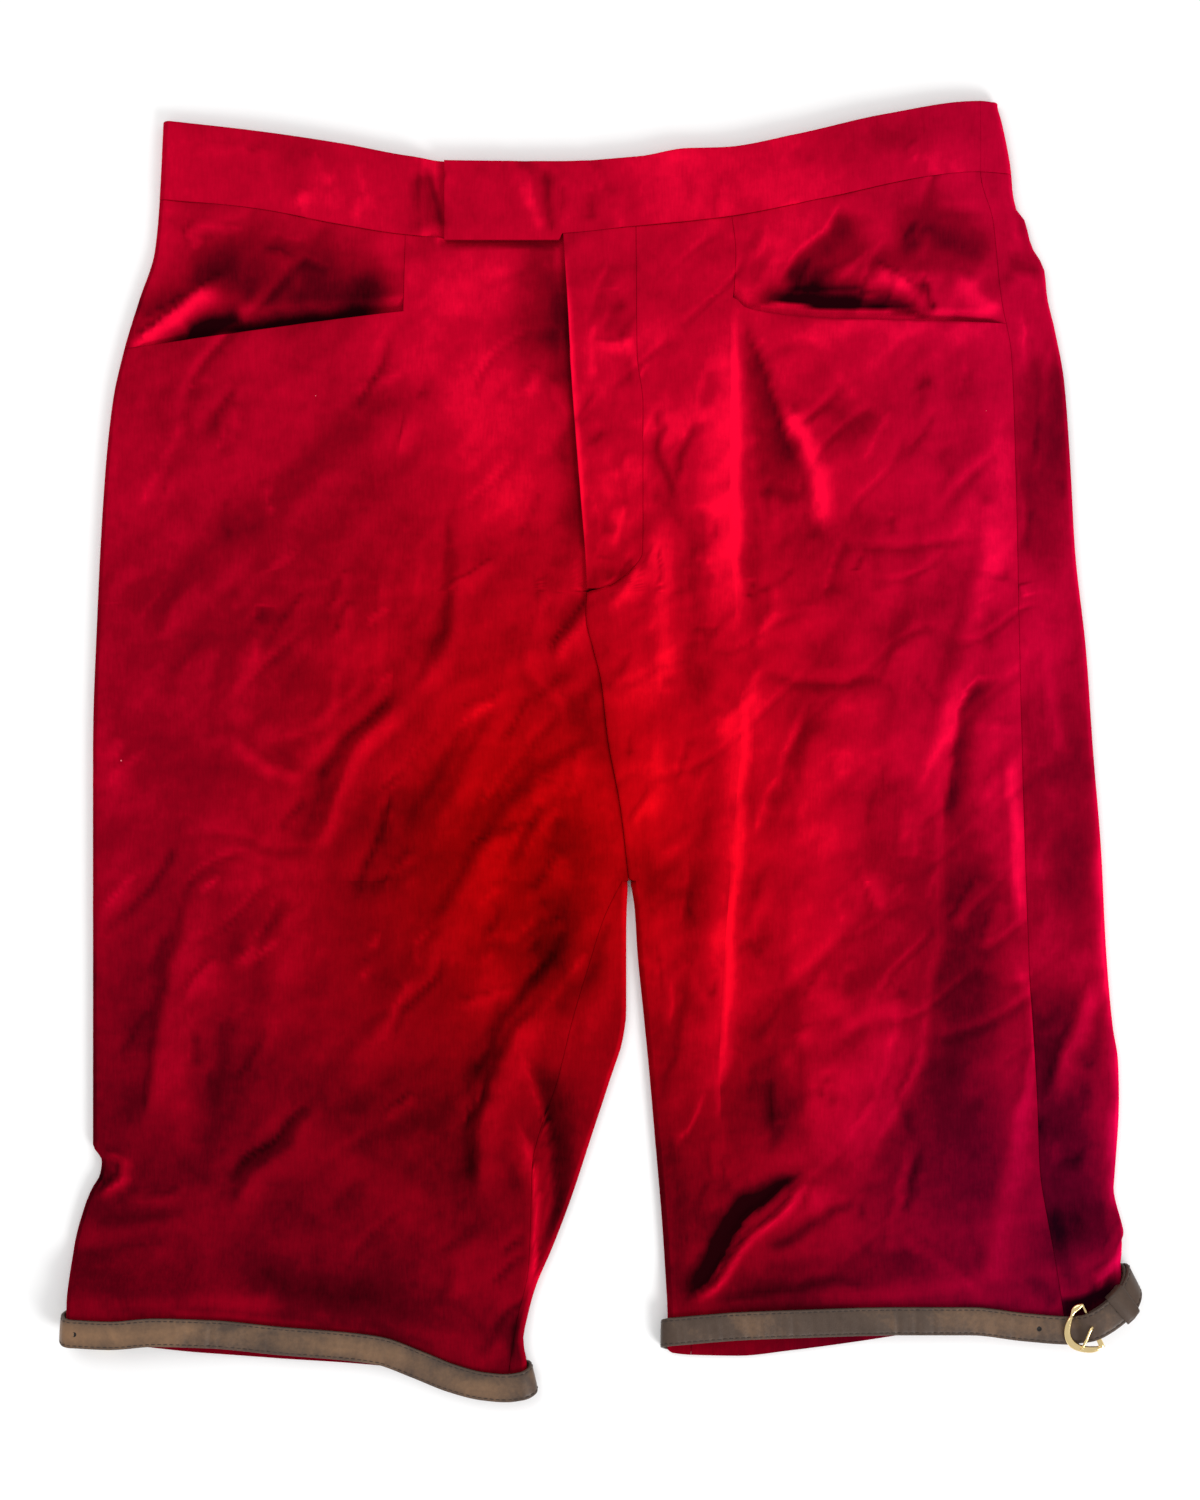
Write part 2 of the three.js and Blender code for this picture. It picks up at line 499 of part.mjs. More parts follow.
function strapWay(side) {
  const out = side === 'right' ? -1 : 1;
  const half = strapWide / 2;
  const steep = (line, x) => Math.atan((line(x + 1) - line(x - 1)) / 2);
  const underLine = shifted(backHem[side], half + 1);
  const top = (x) => {
    const y = strapMiddle[side](x);
    const stand = side === 'left' ? keeperRoom.left * ease((x - 236) / 12) : 0;
    const z = Math.max(...[-half, 0, half].map((w) => topHeight(side, x, y + w)));
    return { p: new THREE.Vector3(x, y, z + overStrap + stand), turn: steep(strapMiddle[side], x) };
  };
  const under = (x) => {
    const y = underLine(x);
    const stand = side === 'right' ? keeperRoom.right * ease((-205 - x) / 12) : 0;
    const z = Math.min(...[-half, 0, half].map((w) => lift(side, x, y + w)));
    return { p: new THREE.Vector3(x, y, z - gap - stand), turn: steep(underLine, x) };
  };
  const xOuter = outerTangent[side](side === 'right' ? -290 : -264);
  const xInner = innerTangent[side](side === 'right' ? -315 : -290);
  const round = (a, b, reach, dir) => (t) => {
    const turn = mix(a.turn, b.turn, t);
    const p = a.p.clone().lerp(b.p, (1 - Math.cos(Math.PI * t)) / 2);
    const bulge = dir * (edgeRound + reach) * Math.sin(Math.PI * t);
    return { p: p.add(new THREE.Vector3(Math.cos(turn) * bulge, Math.sin(turn) * bulge, 0)), turn };
  };
  const runs = [
    [(t) => top(mix(xInner, xOuter, t)), flatStations],
    [round(top(xOuter), under(xOuter), proud[side].outer, out), bendStations],
    [(t) => under(mix(xOuter, xInner, t)), flatStations],
    [round(under(xInner), top(xInner), proud[side].inner, -out), bendStations],
  ];
  const stations = [];
  runs.forEach(([run, n]) => {
    for (let k = 0; k < n; k += 1) stations.push(run(k / n));
  });
  const marks = [0];
  stations.forEach((station, k) => {
    marks.push(marks[k] + station.p.distanceTo(stations[(k + 1) % stations.length].p));
  });
  const long = marks[stations.length];
  const onBuckleRun = (k) => (side === 'left' ? k < firstBend[0] : k >= firstBend[1] && k < secondBend[0]);
  const bar = stations.reduce((best, station, k) => {
    const miss = Math.abs(station.p.x - buckleAt[side]);
    return onBuckleRun(k) && miss < best.miss ? { miss, mark: marks[k] } : best;
  }, { miss: Infinity }).mark;
  const spot = (s) => {
    const m = (((s + bar) % long) + long) % long;
    let k = stations.length - 1;
    while (marks[k] > m) k -= 1;
    const t = (m - marks[k]) / (marks[k + 1] - marks[k]);
    const next = stations[(k + 1) % stations.length];
    return { p: stations[k].p.clone().lerp(next.p, t), turn: mix(stations[k].turn, next.turn, t) };
  };
  const at = (s, w, o) => {
    const { p, turn } = spot(s);
    const along = spot(s + 1.5).p.sub(spot(s - 1.5).p);
    const across = new THREE.Vector3(-Math.sin(turn), Math.cos(turn), 0);
    const outward = along.cross(across).normalize().multiplyScalar(out);
    return p.addScaledVector(across, w).addScaledVector(outward, o);
  };
  const bend = (s) => {
    const m = (((s + bar) % long) + long) % long;
    return [firstBend, secondBend].some(([a, b]) => m > marks[a] - 2 && m < marks[b] + 2);
  };
  return { at, long, bend };
}

// A closed bar of the given section, swept round a loop of stations, or capped at its ends
function swept(name, material, sections, closed) {
  const sides = sections[0].length;
  const vertices = sections.flat().flatMap((p) => [p.x, p.y, p.z]);
  const faces = [];
  const last = closed ? sections.length : sections.length - 1;
  for (let i = 0; i < last; i += 1) {
    for (let k = 0; k < sides; k += 1) {
      const [a, b] = [i * sides + k, i * sides + ((k + 1) % sides)];
      const step = ((i + 1) % sections.length) * sides - i * sides;
      faces.push(a, b, b + step, a, b + step, a + step);
    }
  }
  if (!closed) {
    const end = (sections.length - 1) * sides;
    for (let k = 1; k < sides - 1; k += 1) faces.push(0, k + 1, k, end, end + k, end + k + 1);
  }
  const geometry = new THREE.BufferGeometry();
  geometry.setAttribute('position', new THREE.Float32BufferAttribute(vertices, 3));
  geometry.setIndex(faces);
  const p = (i) => new THREE.Vector3().fromBufferAttribute(geometry.getAttribute('position'), i);
  let volume = 0;
  for (let i = 0; i < faces.length; i += 3) volume += p(faces[i]).dot(p(faces[i + 1]).cross(p(faces[i + 2])));
  if (volume < 0) geometry.setIndex(faces.reverse());
  geometry.computeVertexNormals();
  const mesh = new THREE.Mesh(geometry, material);
  mesh.name = name;
  return mesh;
}

const tipLength = 36;          // strap past the buckle's bar
const holeSpacing = 27;
const holeHalf = 1.3;
const bar = { s: -1.2, o: 0.95 };
const ring = { deep: 13.4, half: 11.5, rise: 2.5, wide: 2.6, thick: 1.9 };
const prongRound = 0.7;
const keeper = { s: 16.5, wide: 8, wall: 1.2 };

function strap(side, way) {
  const { at, long, bend } = way;
  const half = strapWide / 2;
  const end = long + tipLength;
  const holes = [long + bar.s, long + bar.s - holeSpacing].map((s) => [s - holeHalf, s + holeHalf]);
  const rows = [gap];
  const fine = (s) => bend(s) || s < 26 || s > long - 15;
  for (let k = 0; 2 + 2.2 * k < end - 6; k += 1) {
    const s = 2 + 2.2 * k;
    if (k % 5 === 0 || fine(s) || fine(s + 2.2) || fine(s - 2.2)) rows.push(s);
  }
  holes.flat().forEach((s) => rows.push(s));
  [5, 3, 1.4, 0.4, 0].forEach((s) => rows.push(end - s));
  rows.sort((a, b) => a - b);
  const clear = rows.filter((s, k) => k === 0 || holes.flat().includes(s) || s > end - 6 ||
    !holes.flat().some((h) => Math.abs(h - s) < 1));
  const point = (w0, w1) => (t, s) => {
    const tip = Math.min(1, Math.max(0, (s - end + 5) / 5.2));
    return at(s, mix(w0, w1, t) * Math.sqrt(1 - tip * tip), leather + (leather + gap) * ease((s - long + 10) / 7));
  };
  return clothPiece(`strap_${side}`, brown, leather, side === 'left' ? -1 : 1, [
    { count: 1, point: point(-half, -holeHalf) },
    { count: 1, point: point(-holeHalf, holeHalf), holes },
    { count: 1, point: point(holeHalf, half) },
  ], clear);
}

// The buckle's D ring, with its straight bar under the strap's tip
function buckle(side, { at }) {
  const stations = [];
  for (let k = 0; k <= 14; k += 1) {
    const angle = Math.PI * (k / 14 - 0.5);
    stations.push({ s: bar.s - ring.deep * Math.cos(angle), w: ring.half * Math.sin(angle), deep: Math.cos(angle),
      ds: -Math.cos(angle), dw: Math.sin(angle) });
  }
  stations[0].ds = 1;
  stations[14].ds = 1;
  stations.push({ s: bar.s, w: ring.half / 2, deep: 0, ds: 1, dw: 0 });
  stations.push({ s: bar.s, w: -ring.half / 2, deep: 0, ds: 1, dw: 0 });
  const sections = stations.map(({ s, w, deep, ds, dw }) => {
    const points = [];
    for (let k = 0; k < 8; k += 1) {
      const angle = (Math.PI * (k + 0.5)) / 4;
      const wide = (deep > 0.05 ? ring.wide : 1.9) / 2;
      const r = wide * Math.cos(angle) * 1.08;
      const o = bar.o + ring.rise * Math.max(0, deep) ** 0.6 + (ring.thick / 2) * Math.sin(angle) * 1.08;
      points.push(at(s + ds * r, w + dw * r, o));
    }
    return points;
  });
  return swept(`buckle_${side}`, gold, sections, true);
}

// The prong stands in the strap's hole, then leans over to rest on the ring
function prong(side, { at }) {
  const lean = { s: -0.67, w: -0.74 };
  const way = [
    { s: bar.s, w: 0, o: 2.3, fallen: 0 },
    { s: bar.s, w: 0, o: 4, fallen: 0 },
    { s: bar.s - 0.17, w: -0.18, o: 4.6, fallen: 0.5 },
    { s: bar.s - 0.6, w: -0.6, o: 4.85, fallen: 1 },
    { s: -5, w: -4.7, o: 4.85, fallen: 1 },
    { s: -9.8, w: -9.6, o: 4.4, fallen: 1 },
  ];
  const sections = way.map(({ s, w, o, fallen }) => {
    const turn = (Math.PI / 2) * fallen;
    const points = [];
    for (let k = 0; k < 8; k += 1) {
      const angle = (Math.PI * k) / 4;
      const [a, b] = [prongRound * Math.cos(angle), prongRound * Math.sin(angle)];
      const back = b * Math.cos(turn);
      points.push(at(s - a * lean.w - back * lean.s, w + a * lean.s - back * lean.w, o + b * Math.sin(turn)));
    }
    return points;
  });
  return swept(`prong_${side}`, gold, sections, false);
}

function keeperLoop(side, { at }) {
  const inner = { w: strapWide / 2 + gap, low: -gap, high: 2 * leather + 2 * gap + 0.2 };
  const corner = 0.9;
  const middle = (inner.low + inner.high) / 2;
  const sections = [];
  for (let k = 0; k < 16; k += 1) {
    const [dw, doo] = [k < 4 || k >= 12 ? 1 : -1, k < 8 ? 1 : -1];
    const angle = (Math.PI / 2) * (Math.floor(k / 4) + (k % 4) / 3);
    const place = (r) => [dw * (inner.w - corner) + (corner + r) * Math.cos(angle),
      middle + doo * ((inner.high - inner.low) / 2 - corner) + (corner + r) * Math.sin(angle)];
    const [w0, o0] = place(0);
    const [w1, o1] = place(keeper.wall);
    const [s0, s1] = [keeper.s - keeper.wide / 2, keeper.s + keeper.wide / 2];
    const middleS = (s0 + s1) / 2;
    sections.push([at(s0, w0, o0), at(middleS, w0, o0), at(s1, w0, o0), at(s1, w1, o1), at(middleS, w1, o1),
      at(s0, w1, o1)]);
  }
  return swept(`keeper_${side}`, brown, sections, true);
}

function hemStrap(side) {
  const way = strapWay(side);
  return [strap(side, way), buckle(side, way), prong(side, way), keeperLoop(side, way)];
}

const shorts = new THREE.Group();
shorts.add(...rightHalf(), ...leftHalf(), ...waistband(), ...hemStrap('right'), ...hemStrap('left'));

export default shorts;
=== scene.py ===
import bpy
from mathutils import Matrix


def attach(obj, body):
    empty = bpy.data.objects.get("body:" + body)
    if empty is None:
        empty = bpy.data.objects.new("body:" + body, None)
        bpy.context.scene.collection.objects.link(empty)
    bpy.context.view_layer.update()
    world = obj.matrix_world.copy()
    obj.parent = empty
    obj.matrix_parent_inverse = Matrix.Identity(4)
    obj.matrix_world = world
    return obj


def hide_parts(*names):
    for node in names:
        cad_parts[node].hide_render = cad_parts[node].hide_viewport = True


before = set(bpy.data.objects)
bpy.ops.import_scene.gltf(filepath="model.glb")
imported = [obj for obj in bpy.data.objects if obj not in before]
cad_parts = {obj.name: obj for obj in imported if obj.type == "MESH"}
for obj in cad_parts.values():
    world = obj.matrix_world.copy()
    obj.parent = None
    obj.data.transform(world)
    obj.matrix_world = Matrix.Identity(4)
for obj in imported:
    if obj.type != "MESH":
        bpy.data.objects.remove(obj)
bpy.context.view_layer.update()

import math

import bpy
import numpy as np
from mathutils import Vector
from mathutils.kdtree import KDTree

# Knee-length velvet shorts laid flat, front up, with a buckled leather strap round each hem.
# Shapes are worked out in millimetres and made in metres. Right and left are the wearer's.
MM = 0.001

# Sizes of cloth and leather
VELVET = 1.5
BAND_WALL = 2.2
LEATHER = 1.8
STRAP_WIDE = 14
GAP = 0.3
EDGE_HIGH = 5.6
EDGE_ROUND = 2.8
CROWN = 1.9
CROWN_REACH = 45
LEAST_HIGH = 5.2
BAND_EDGE_HIGH = 6.6
BAND_CROWN = 1.7
HEM_HIGH = 6.4
HEM_REACH = 26
TUCKED_HIGH = 5.3
FACING_HIGH = 3.7
TURN_UNDER = 9
CROTCH_Y = -65.5
OVER_STRAP = 0.5
KEEPER_ROOM = {"right": 2.4, "left": 2.9}
FLY_FOOT = 79.3
TAB_RAMP = 14
TAB_STEP = (-18.8, -20.6)
TAB_FOOT = 255.2
TAB_END = -78
CENTRE_BACK = 14.5

# Mesh fineness
FRONT_STEP = 2.4
FOOT_TOP = 99
FOOT_STEP = 0.55
BACK_STEP = 4.5
EDGE_STEPS = (0, 0.12, 0.4, 0.85, 1.6)
EDGE_TURNS = 12
EDGE_SOFT = 0.3
SEAM = 0.04

# Looks of the pile: how much painted shade a slope gets from the key light's side, how much painted sheen a
# face turned aside gets, how wide a rim is, and how high it crumples
SLOPE_PAINTED_SHADE = 0.38
EDGE_PAINTED_SHEEN = 0.4
RIM_WIDE = 0.7
CRUMPLE = 1.6


def ease(t):
    t = np.clip(t, 0, 1)
    return t * t * (3 - 2 * t)


def mix(a, b, t):
    return a + (b - a) * t


def through(points):
    """A smooth line through points (place along, value), level beyond its ends."""
    p = np.array(sorted(points), float)
    xs, ys = p[:, 0], p[:, 1]
    steep = np.diff(ys) / np.diff(xs)
    slopes = np.concatenate([steep[:1], np.zeros(len(xs) - 2), steep[-1:]])
    before, after = steep[:-1], steep[1:]
    same = before * after > 0
    slopes[1:-1][same] = (2 * before * after)[same] / (before + after)[same]

    def line(t):
        t = np.clip(np.asarray(t, float), xs[0], xs[-1])
        i = np.clip(np.searchsorted(xs, t, side="right") - 1, 0, len(xs) - 2)
        span = xs[i + 1] - xs[i]
        s = (t - xs[i]) / span
        bow = slopes[i] * s * (1 - s) ** 2 - slopes[i + 1] * s * s * (1 - s)
        return mix(ys[i], ys[i + 1], s * s * (3 - 2 * s)) + span * bow

    return line


def shifted(line, by):
    return lambda t: line(t) + by


# Outlines seen from above, from the waist down: y, x
outer_edge = {
    "right": through([(316, -219), (276, -221), (250, -223.5), (225, -231.5), (200, -239), (175, -244.5),
                      (137, -248.5), (75, -252), (0, -254.5), (-198, -254.5), (-206, -250), (-213, -251),
                      (-220, -255), (-230, -259), (-250, -264), (-275, -266)]),
    "left": through([(322, 199.5), (313, 202), (288, 206.5), (281, 207), (271, 209), (266, 213), (253, 216.5),
                     (241, 223), (227, 224.5), (212, 228), (185, 233), (145, 236), (100, 238.5), (50, 244),
                     (0, 247.5), (-50, 251.5), (-100, 254), (-140, 257.5), (-155, 260), (-175, 260.5),
                     (-217, 258), (-225, 257.5), (-237, 262), (-244, 262.5), (-250, 260), (-257, 259.5),
                     (-264, 261)]),
}
inner_edge = {
    "right": through([(-65, 14.1), (-91, 13.2), (-131, 13.2), (-145, 11.5), (-164, 5.5), (-193, -4),
                      (-225, -14.5), (-250, -24), (-270, -32.5), (-287, -37), (-295, -38.5), (-307, -36.5)]),
    "left": through([(-65, 15), (-79, 17.3), (-102, 18.8), (-132, 21.8), (-165, 25), (-194, 27.5),
                     (-239, 31.3), (-279, 33.8)]),
}
centre_seam = through([(FLY_FOOT, -6.5), (67, -7), (51, -3.5), (35, 0.5), (5, 4), (-27, 10), (-65, 14.5)])
fly_edge = through([(262, -18.7), (220, -16), (182, -14), (130, -10), (91, -7), (FLY_FOOT, -6.6)])
fly_seam = through([(262, 18), (199, 18.5), (173, 21.5), (110, 21.5), (98.5, 21), (90.5, 16), (86, 11),
                    (83, 6.5), (80.8, 0), (FLY_FOOT, -6.5)])
side_seam = through([(325, 190.5), (289, 190.5), (264, 197), (228, 200.5), (197, 206), (145, 208),
                     (32, 210.5), (-75, 213.5), (-121, 215.5), (-179, 219), (-209, 220), (-241, 225),
                     (-282, 231.5)])
inseam = through([(CROTCH_Y, 11), (-84, 2), (-109, -6), (-132, -13), (-164, -21), (-209, -34), (-240, -35),
                  (-260, -36), (-287, -42), (-309, -45.5)])
yoke_seam = {
    "right": through([(258, -97.5), (219, -98.5), (-65, -108), (-300, -135)]),
    "left": through([(267, 66), (249, 68), (230, 67), (217, 65.5), (158, 65), (95, 67), (18, 71),
                     (-58, 65.5), (-154, 60), (-212, 61.5), (-300, 58)]),
}

# Edges and seams that run across, from the wearer's right: x, y
band_top = through([(-220, 315.5), (-178, 310.5), (-127, 303), (-98, 297.5), (-77, 295), (-21, 294.5),
                    (20, 297), (43, 301), (62, 301.5), (98, 308), (142, 318), (190, 325), (198, 324),
                    (202, 318)])
waist_seam = through([(-221, 276), (-176, 271.5), (-127, 262.5), (-98, 258), (-77, 256.5), (-18, 258.5),
                      (16, 262), (64, 267), (118, 277.5), (167, 287.5), (190, 289.5), (206, 288.5)])
pocket_mouth = {
    "right": through([(-238, 201), (-184, 208.5), (-99, 219.5), (-50, 224), (20, 226)]),
    "left": through([(-7, 232), (21, 230), (67, 226.5), (73, 221.5), (87, 218.5), (114, 216), (167, 214.5),
                     (203, 213.5), (226, 212.5)]),
}
strap_middle = {
    "right": through([(-265, -290), (-243, -291), (-222, -289.5), (-194, -291), (-165, -294.5),
                      (-127, -297.7), (-110, -300), (-92, -306.5), (-73, -314), (-58, -317.7),
                      (-47, -318.6), (-33, -316.5)]),
    "left": through([(33, -290.7), (70, -287.7), (94, -286.7), (150, -285.2), (185, -285.2), (212, -288),
                     (234, -289.3), (243, -287), (252, -282), (260, -275.5), (266, -270.5)]),
}
strap_top = {side: shifted(strap_middle[side], STRAP_WIDE / 2) for side in strap_middle}
back_hem = {
    "right": through([(-265, -295), (-228, -298), (-200, -301.5), (-165, -305), (-127, -307.5),
                      (-102, -310), (-75, -317.5), (-50, -323.5), (-33, -320)]),
    "left": through([(32, -302), (45, -303.5), (70, -304), (94, -301.5), (128, -297), (157, -292.5),
                     (200, -286), (234, -279), (264, -270)]),
}
outer_tangent = {"right": shifted(outer_edge["right"], EDGE_ROUND),
                 "left": shifted(outer_edge["left"], -EDGE_ROUND)}
inner_tangent = {"right": shifted(inner_edge["right"], -EDGE_ROUND),
                 "left": shifted(inner_edge["left"], EDGE_ROUND)}

# Folds, their painted shade and highlight, and the lie of the pile. Each line gives points along it, half
# width, rise in mm and glow, which is how much lighter it is coloured: painted highlight on ridges and free
# edges, painted shade in troughs, painted shadow in the pocket mouths, by the fly and the tab and along the
# straps, and in part the brushed pile. A last 1 makes the side to the lower right steep, and -1 the other
# side. Points and half widths are in half millimetres, right of and below the top left corner of the 600 by
# 750 mm field that the camera sees.
strokes = {
    "leg_right": [
        ([(395, 330), (372, 375), (352, 412)], 5, -1.1, -0.25),
        ([(440, 395), (380, 415), (315, 450), (260, 505), (200, 553), (140, 592)], 30, -0.3, -0.22),
        ([(448, 493), (452, 575), (445, 617), (417, 672)], 6, -1, -0.22),
        ([(462, 540), (460, 600), (440, 655), (405, 700)], 8, 1.1, 0.15),
        ([(392, 682), (378, 708), (351, 732), (338, 758), (309, 784)], 8, -1.5, -0.31),
        ([(330, 752), (312, 800), (298, 850)], 12, -1, -0.22),
        ([(405, 695), (362, 742), (334, 806), (315, 850)], 8, 1.5, 0.15),
        ([(222, 728), (240, 748), (268, 765), (302, 784)], 7, 1.5, 0.31),
        ([(235, 722), (275, 745), (305, 765)], 8, -0.6, -0.12),
        ([(383, 555), (378, 620), (374, 690)], 3, 0.3, 0.09),
        ([(390, 790), (375, 835), (358, 880), (350, 900)], 5, -0.8, -0.15),
        ([(372, 800), (392, 815), (394, 835)], 5, 0.6, 0.09),
        ([(470, 695), (445, 750), (415, 795), (395, 830)], 13, -1.1, -0.19),
        ([(500, 690), (482, 740), (460, 780), (430, 830)], 10, 0.7, 0.06),
        ([(590, 775), (585, 800), (590, 830)], 10, 0.6, 0.09),
        ([(566, 912), (552, 950), (525, 985), (495, 1025), (470, 1070), (452, 1102)], 9, -1.2, -0.26),
        ([(545, 903), (548, 920), (565, 930)], 5, 0.7, 0.15),
        ([(522, 398), (530, 385), (537, 368)], 5, 0.8, 0.25),
        ([(546, 374), (555, 395), (566, 416)], 4, 0.8, 0.25),
        ([(542, 320), (552, 355), (560, 385)], 10, -0.6, -0.19),
        ([(540, 425), (556, 445), (576, 462)], 5, -0.6, -0.15),
        ([(588, 606), (576, 628), (560, 645), (556, 662)], 6, 1, 0.19),
        ([(523, 640), (528, 668), (548, 688), (566, 702)], 5, 0.6, 0.15),
        ([(510, 660), (530, 695), (560, 705)], 9, -0.6, -0.15),
        ([(590, 680), (580, 720), (592, 735)], 8, -0.6, -0.15),
        ([(450, 350), (500, 460), (516, 540)], 42, 0.4, 0.34),
        ([(420, 250), (470, 260), (520, 280)], 40, 0.3, 0.14),
        ([(500, 560), (490, 620), (480, 660)], 25, 0, 0.07),
        ([(495, 495), (515, 500), (530, 528)], 12, 0.3, 0.12),
        # Painted shadow under the waistband's tab
        ([(446, 243), (500, 246), (563, 248)], 5, 0, -0.25),
        ([(500, 244), (535, 262), (556, 300), (560, 360)], 36, -0.2, -0.34),
        ([(115, 580), (135, 600), (110, 640)], 18, -0.4, -0.12),
        ([(200, 575), (178, 600), (160, 640)], 9, 0.7, 0.09),
        ([(245, 632), (240, 680), (232, 725)], 10, 0.7, 0.12),
        ([(222, 640), (212, 690), (205, 740)], 9, -0.6, -0.09),
        ([(100, 700), (125, 720), (110, 760)], 16, -0.3, -0.09),
        ([(92, 770), (115, 778), (130, 768)], 10, 0.3, 0.09),
        ([(180, 830), (162, 868), (140, 900), (98, 936)], 6, -0.9, -0.22),
        ([(182, 1008), (198, 1036), (206, 1072)], 5, 0.6, 0.09),
        ([(180, 1040), (178, 1080), (172, 1120)], 14, 0.4, 0.11),
        ([(240, 880), (228, 960), (215, 1060), (205, 1130), (200, 1190)], 14, -0.6, -0.12),
        ([(198, 828), (240, 840), (268, 852), (320, 848)], 5, -0.6, -0.12),
        ([(300, 880), (285, 950), (262, 1040), (235, 1120)], 16, 0.6, 0.07),
        ([(265, 905), (255, 960), (245, 1010)], 9, -0.5, -0.09),
        ([(304, 1100), (280, 1132), (246, 1155), (226, 1185)], 7, -1.2, -0.25),
        ([(318, 1096), (296, 1145), (256, 1170), (228, 1212)], 9, 1.2, 0.12),
        ([(458, 925), (420, 985), (380, 1040), (320, 1095)], 22, 1.1, 0.16),
        ([(452, 940), (436, 975), (402, 1008), (390, 1042)], 5, -0.8, -0.19),
        ([(470, 1100), (420, 1108), (370, 1120), (335, 1160)], 34, -0.7, -0.24),
        ([(470, 1085), (462, 1130), (466, 1185)], 8, -1, -0.22),
        ([(520, 1045), (530, 1080), (540, 1110)], 18, 0.4, 0.19),
        ([(505, 1130), (500, 1160), (520, 1195)], 8, -0.6, -0.15),
        ([(85, 1218), (140, 1218), (200, 1205)], 10, -0.6, -0.20),
        ([(70, 1262), (120, 1248), (165, 1238)], 10, -0.6, -0.15),
        ([(120, 1198), (165, 1200), (190, 1190)], 8, 0.7, 0.07),
        ([(110, 1268), (180, 1262), (230, 1290), (290, 1312)], 22, 0.8, 0.12),
        ([(205, 1222), (290, 1276), (370, 1302), (450, 1296)], 26, -1, -0.25),
        ([(250, 1200), (300, 1220), (380, 1200)], 30, -0.2, -0.14),
        ([(484, 1228), (456, 1252), (452, 1300)], 10, 0.8, 0.12),
        ([(528, 1258), (506, 1268), (488, 1284)], 4, -0.7, -0.15),
        ([(526, 1238), (510, 1244), (500, 1252)], 4, -0.6, -0.12),
        ([(528, 1302), (508, 1312), (492, 1330)], 4, -0.8, -0.22),
        ([(520, 1312), (510, 1345), (512, 1362)], 4, -0.7, -0.25),
        ([(500, 1330), (486, 1350), (470, 1358)], 8, 0.7, 0.09),
        # Painted shadow along the strap's top edge
        ([(60, 1312), (200, 1310), (340, 1322), (420, 1340), (480, 1362)], 5, 0, -0.25),
        ([(600, 920), (592, 960), (576, 1000)], 9, -0.7, -0.15),
        ([(560, 945), (575, 965), (570, 985)], 6, 0.8, 0.15),
        ([(600, 640), (606, 700), (612, 780), (622, 850)], 12, -0.4, -0.19),
        ([(612, 738), (575, 758), (540, 782), (508, 818), (482, 862), (452, 916), (424, 978)],
         34, 1.8, 0.24, -1),
        ([(205, 862), (188, 905), (172, 962), (164, 1015), (157, 1062), (146, 1128)], 10, 1.4, 0.22, -1),
        ([(180, 890), (158, 950), (148, 1020), (142, 1085), (136, 1140)], 20, -0.7, -0.2, 1),
        ([(545, 1000), (514, 1036), (494, 1072), (482, 1120), (478, 1170), (484, 1205)], 15, 2.2, 0.34, -1),
        ([(520, 1030), (536, 1072), (547, 1112), (553, 1150), (553, 1195), (547, 1250)], 10, -2.0, -0.66, -1),
        ([(585, 1060), (570, 1120), (560, 1190)], 12, 0, -0.15),
        ([(508, 1108), (518, 1135), (529, 1158), (535, 1200), (535, 1262), (530, 1316)], 6, 2.2, 0.62, 1),
        ([(105, 1149), (121, 1158), (122, 1178), (98, 1196)], 4, 1.6, 0.5),
        ([(98, 1180), (107, 1182), (112, 1172)], 6, -1.0, -0.4),
        # Painted shadow beside the fly's edge and below its foot
        ([(566, 250), (570, 340), (575, 420), (581, 500), (587, 580)], 8, -1.0, -0.8, 1),
        ([(560, 250), (558, 330), (566, 400)], 22, -0.3, -0.4, 1),
        ([(587, 592), (574, 614), (560, 636), (546, 652)], 9, -1.6, -0.45, 1),
        ([(600, 770), (574, 840), (556, 900), (540, 960), (530, 1010)], 34, -0.8, -0.42),
        ([(380, 250), (400, 320), (390, 400)], 60, 0.2, 0.36),
    ],
    "leg_left": [
        ([(748, 660), (752, 700), (758, 742)], 4, 0.6, 0.19),
        ([(655, 490), (659, 550), (661, 620), (664, 700)], 13, 1.1, 0.46),
        ([(678, 450), (684, 520), (691, 600), (694, 680), (692, 740)], 17, -0.9, -0.34),
        ([(684, 420), (682, 480), (683, 560), (688, 640)], 2.5, 0.3, 0.15),
        ([(650, 404), (661, 430), (656, 452), (668, 482), (675, 505)], 6, -0.8, -0.45),
        ([(645, 562), (632, 582), (602, 606)], 7, 1.0, 0.5),
        ([(690, 628), (706, 630), (724, 636)], 4, -0.6, -0.19),
        ([(652, 655), (670, 668), (690, 662)], 5, -0.4, -0.12),
        ([(600, 650), (625, 690), (640, 760), (660, 840)], 28, 0.3, 0.19),
        ([(700, 690), (706, 780), (704, 860), (694, 950), (686, 1060)], 20, -0.7, -0.3),
        ([(742, 450), (748, 520), (752, 600), (756, 660)], 9, -0.6, -0.14),
        ([(776, 398), (800, 424), (816, 456), (824, 500), (820, 536)], 9, 1.2, 0.42, -1),
        ([(752, 488), (780, 492), (802, 500)], 6, -0.7, -0.19),
        ([(806, 505), (812, 525), (816, 540)], 4, -0.6, -0.19),
        ([(756, 312), (800, 320), (860, 322), (930, 325), (1000, 328)], 9, 1.1, 0.07),
        ([(805, 318), (826, 352), (846, 385), (866, 400)], 7, 0.9, 0.22),
        ([(808, 400), (850, 416), (892, 432)], 9, -0.6, -0.12),
        ([(850, 340), (880, 390), (892, 440)], 14, 0, -0.05),
        ([(928, 340), (932, 390), (922, 430)], 9, 0.6, 0.11),
        ([(940, 440), (945, 470), (935, 500)], 9, -0.6, -0.14),
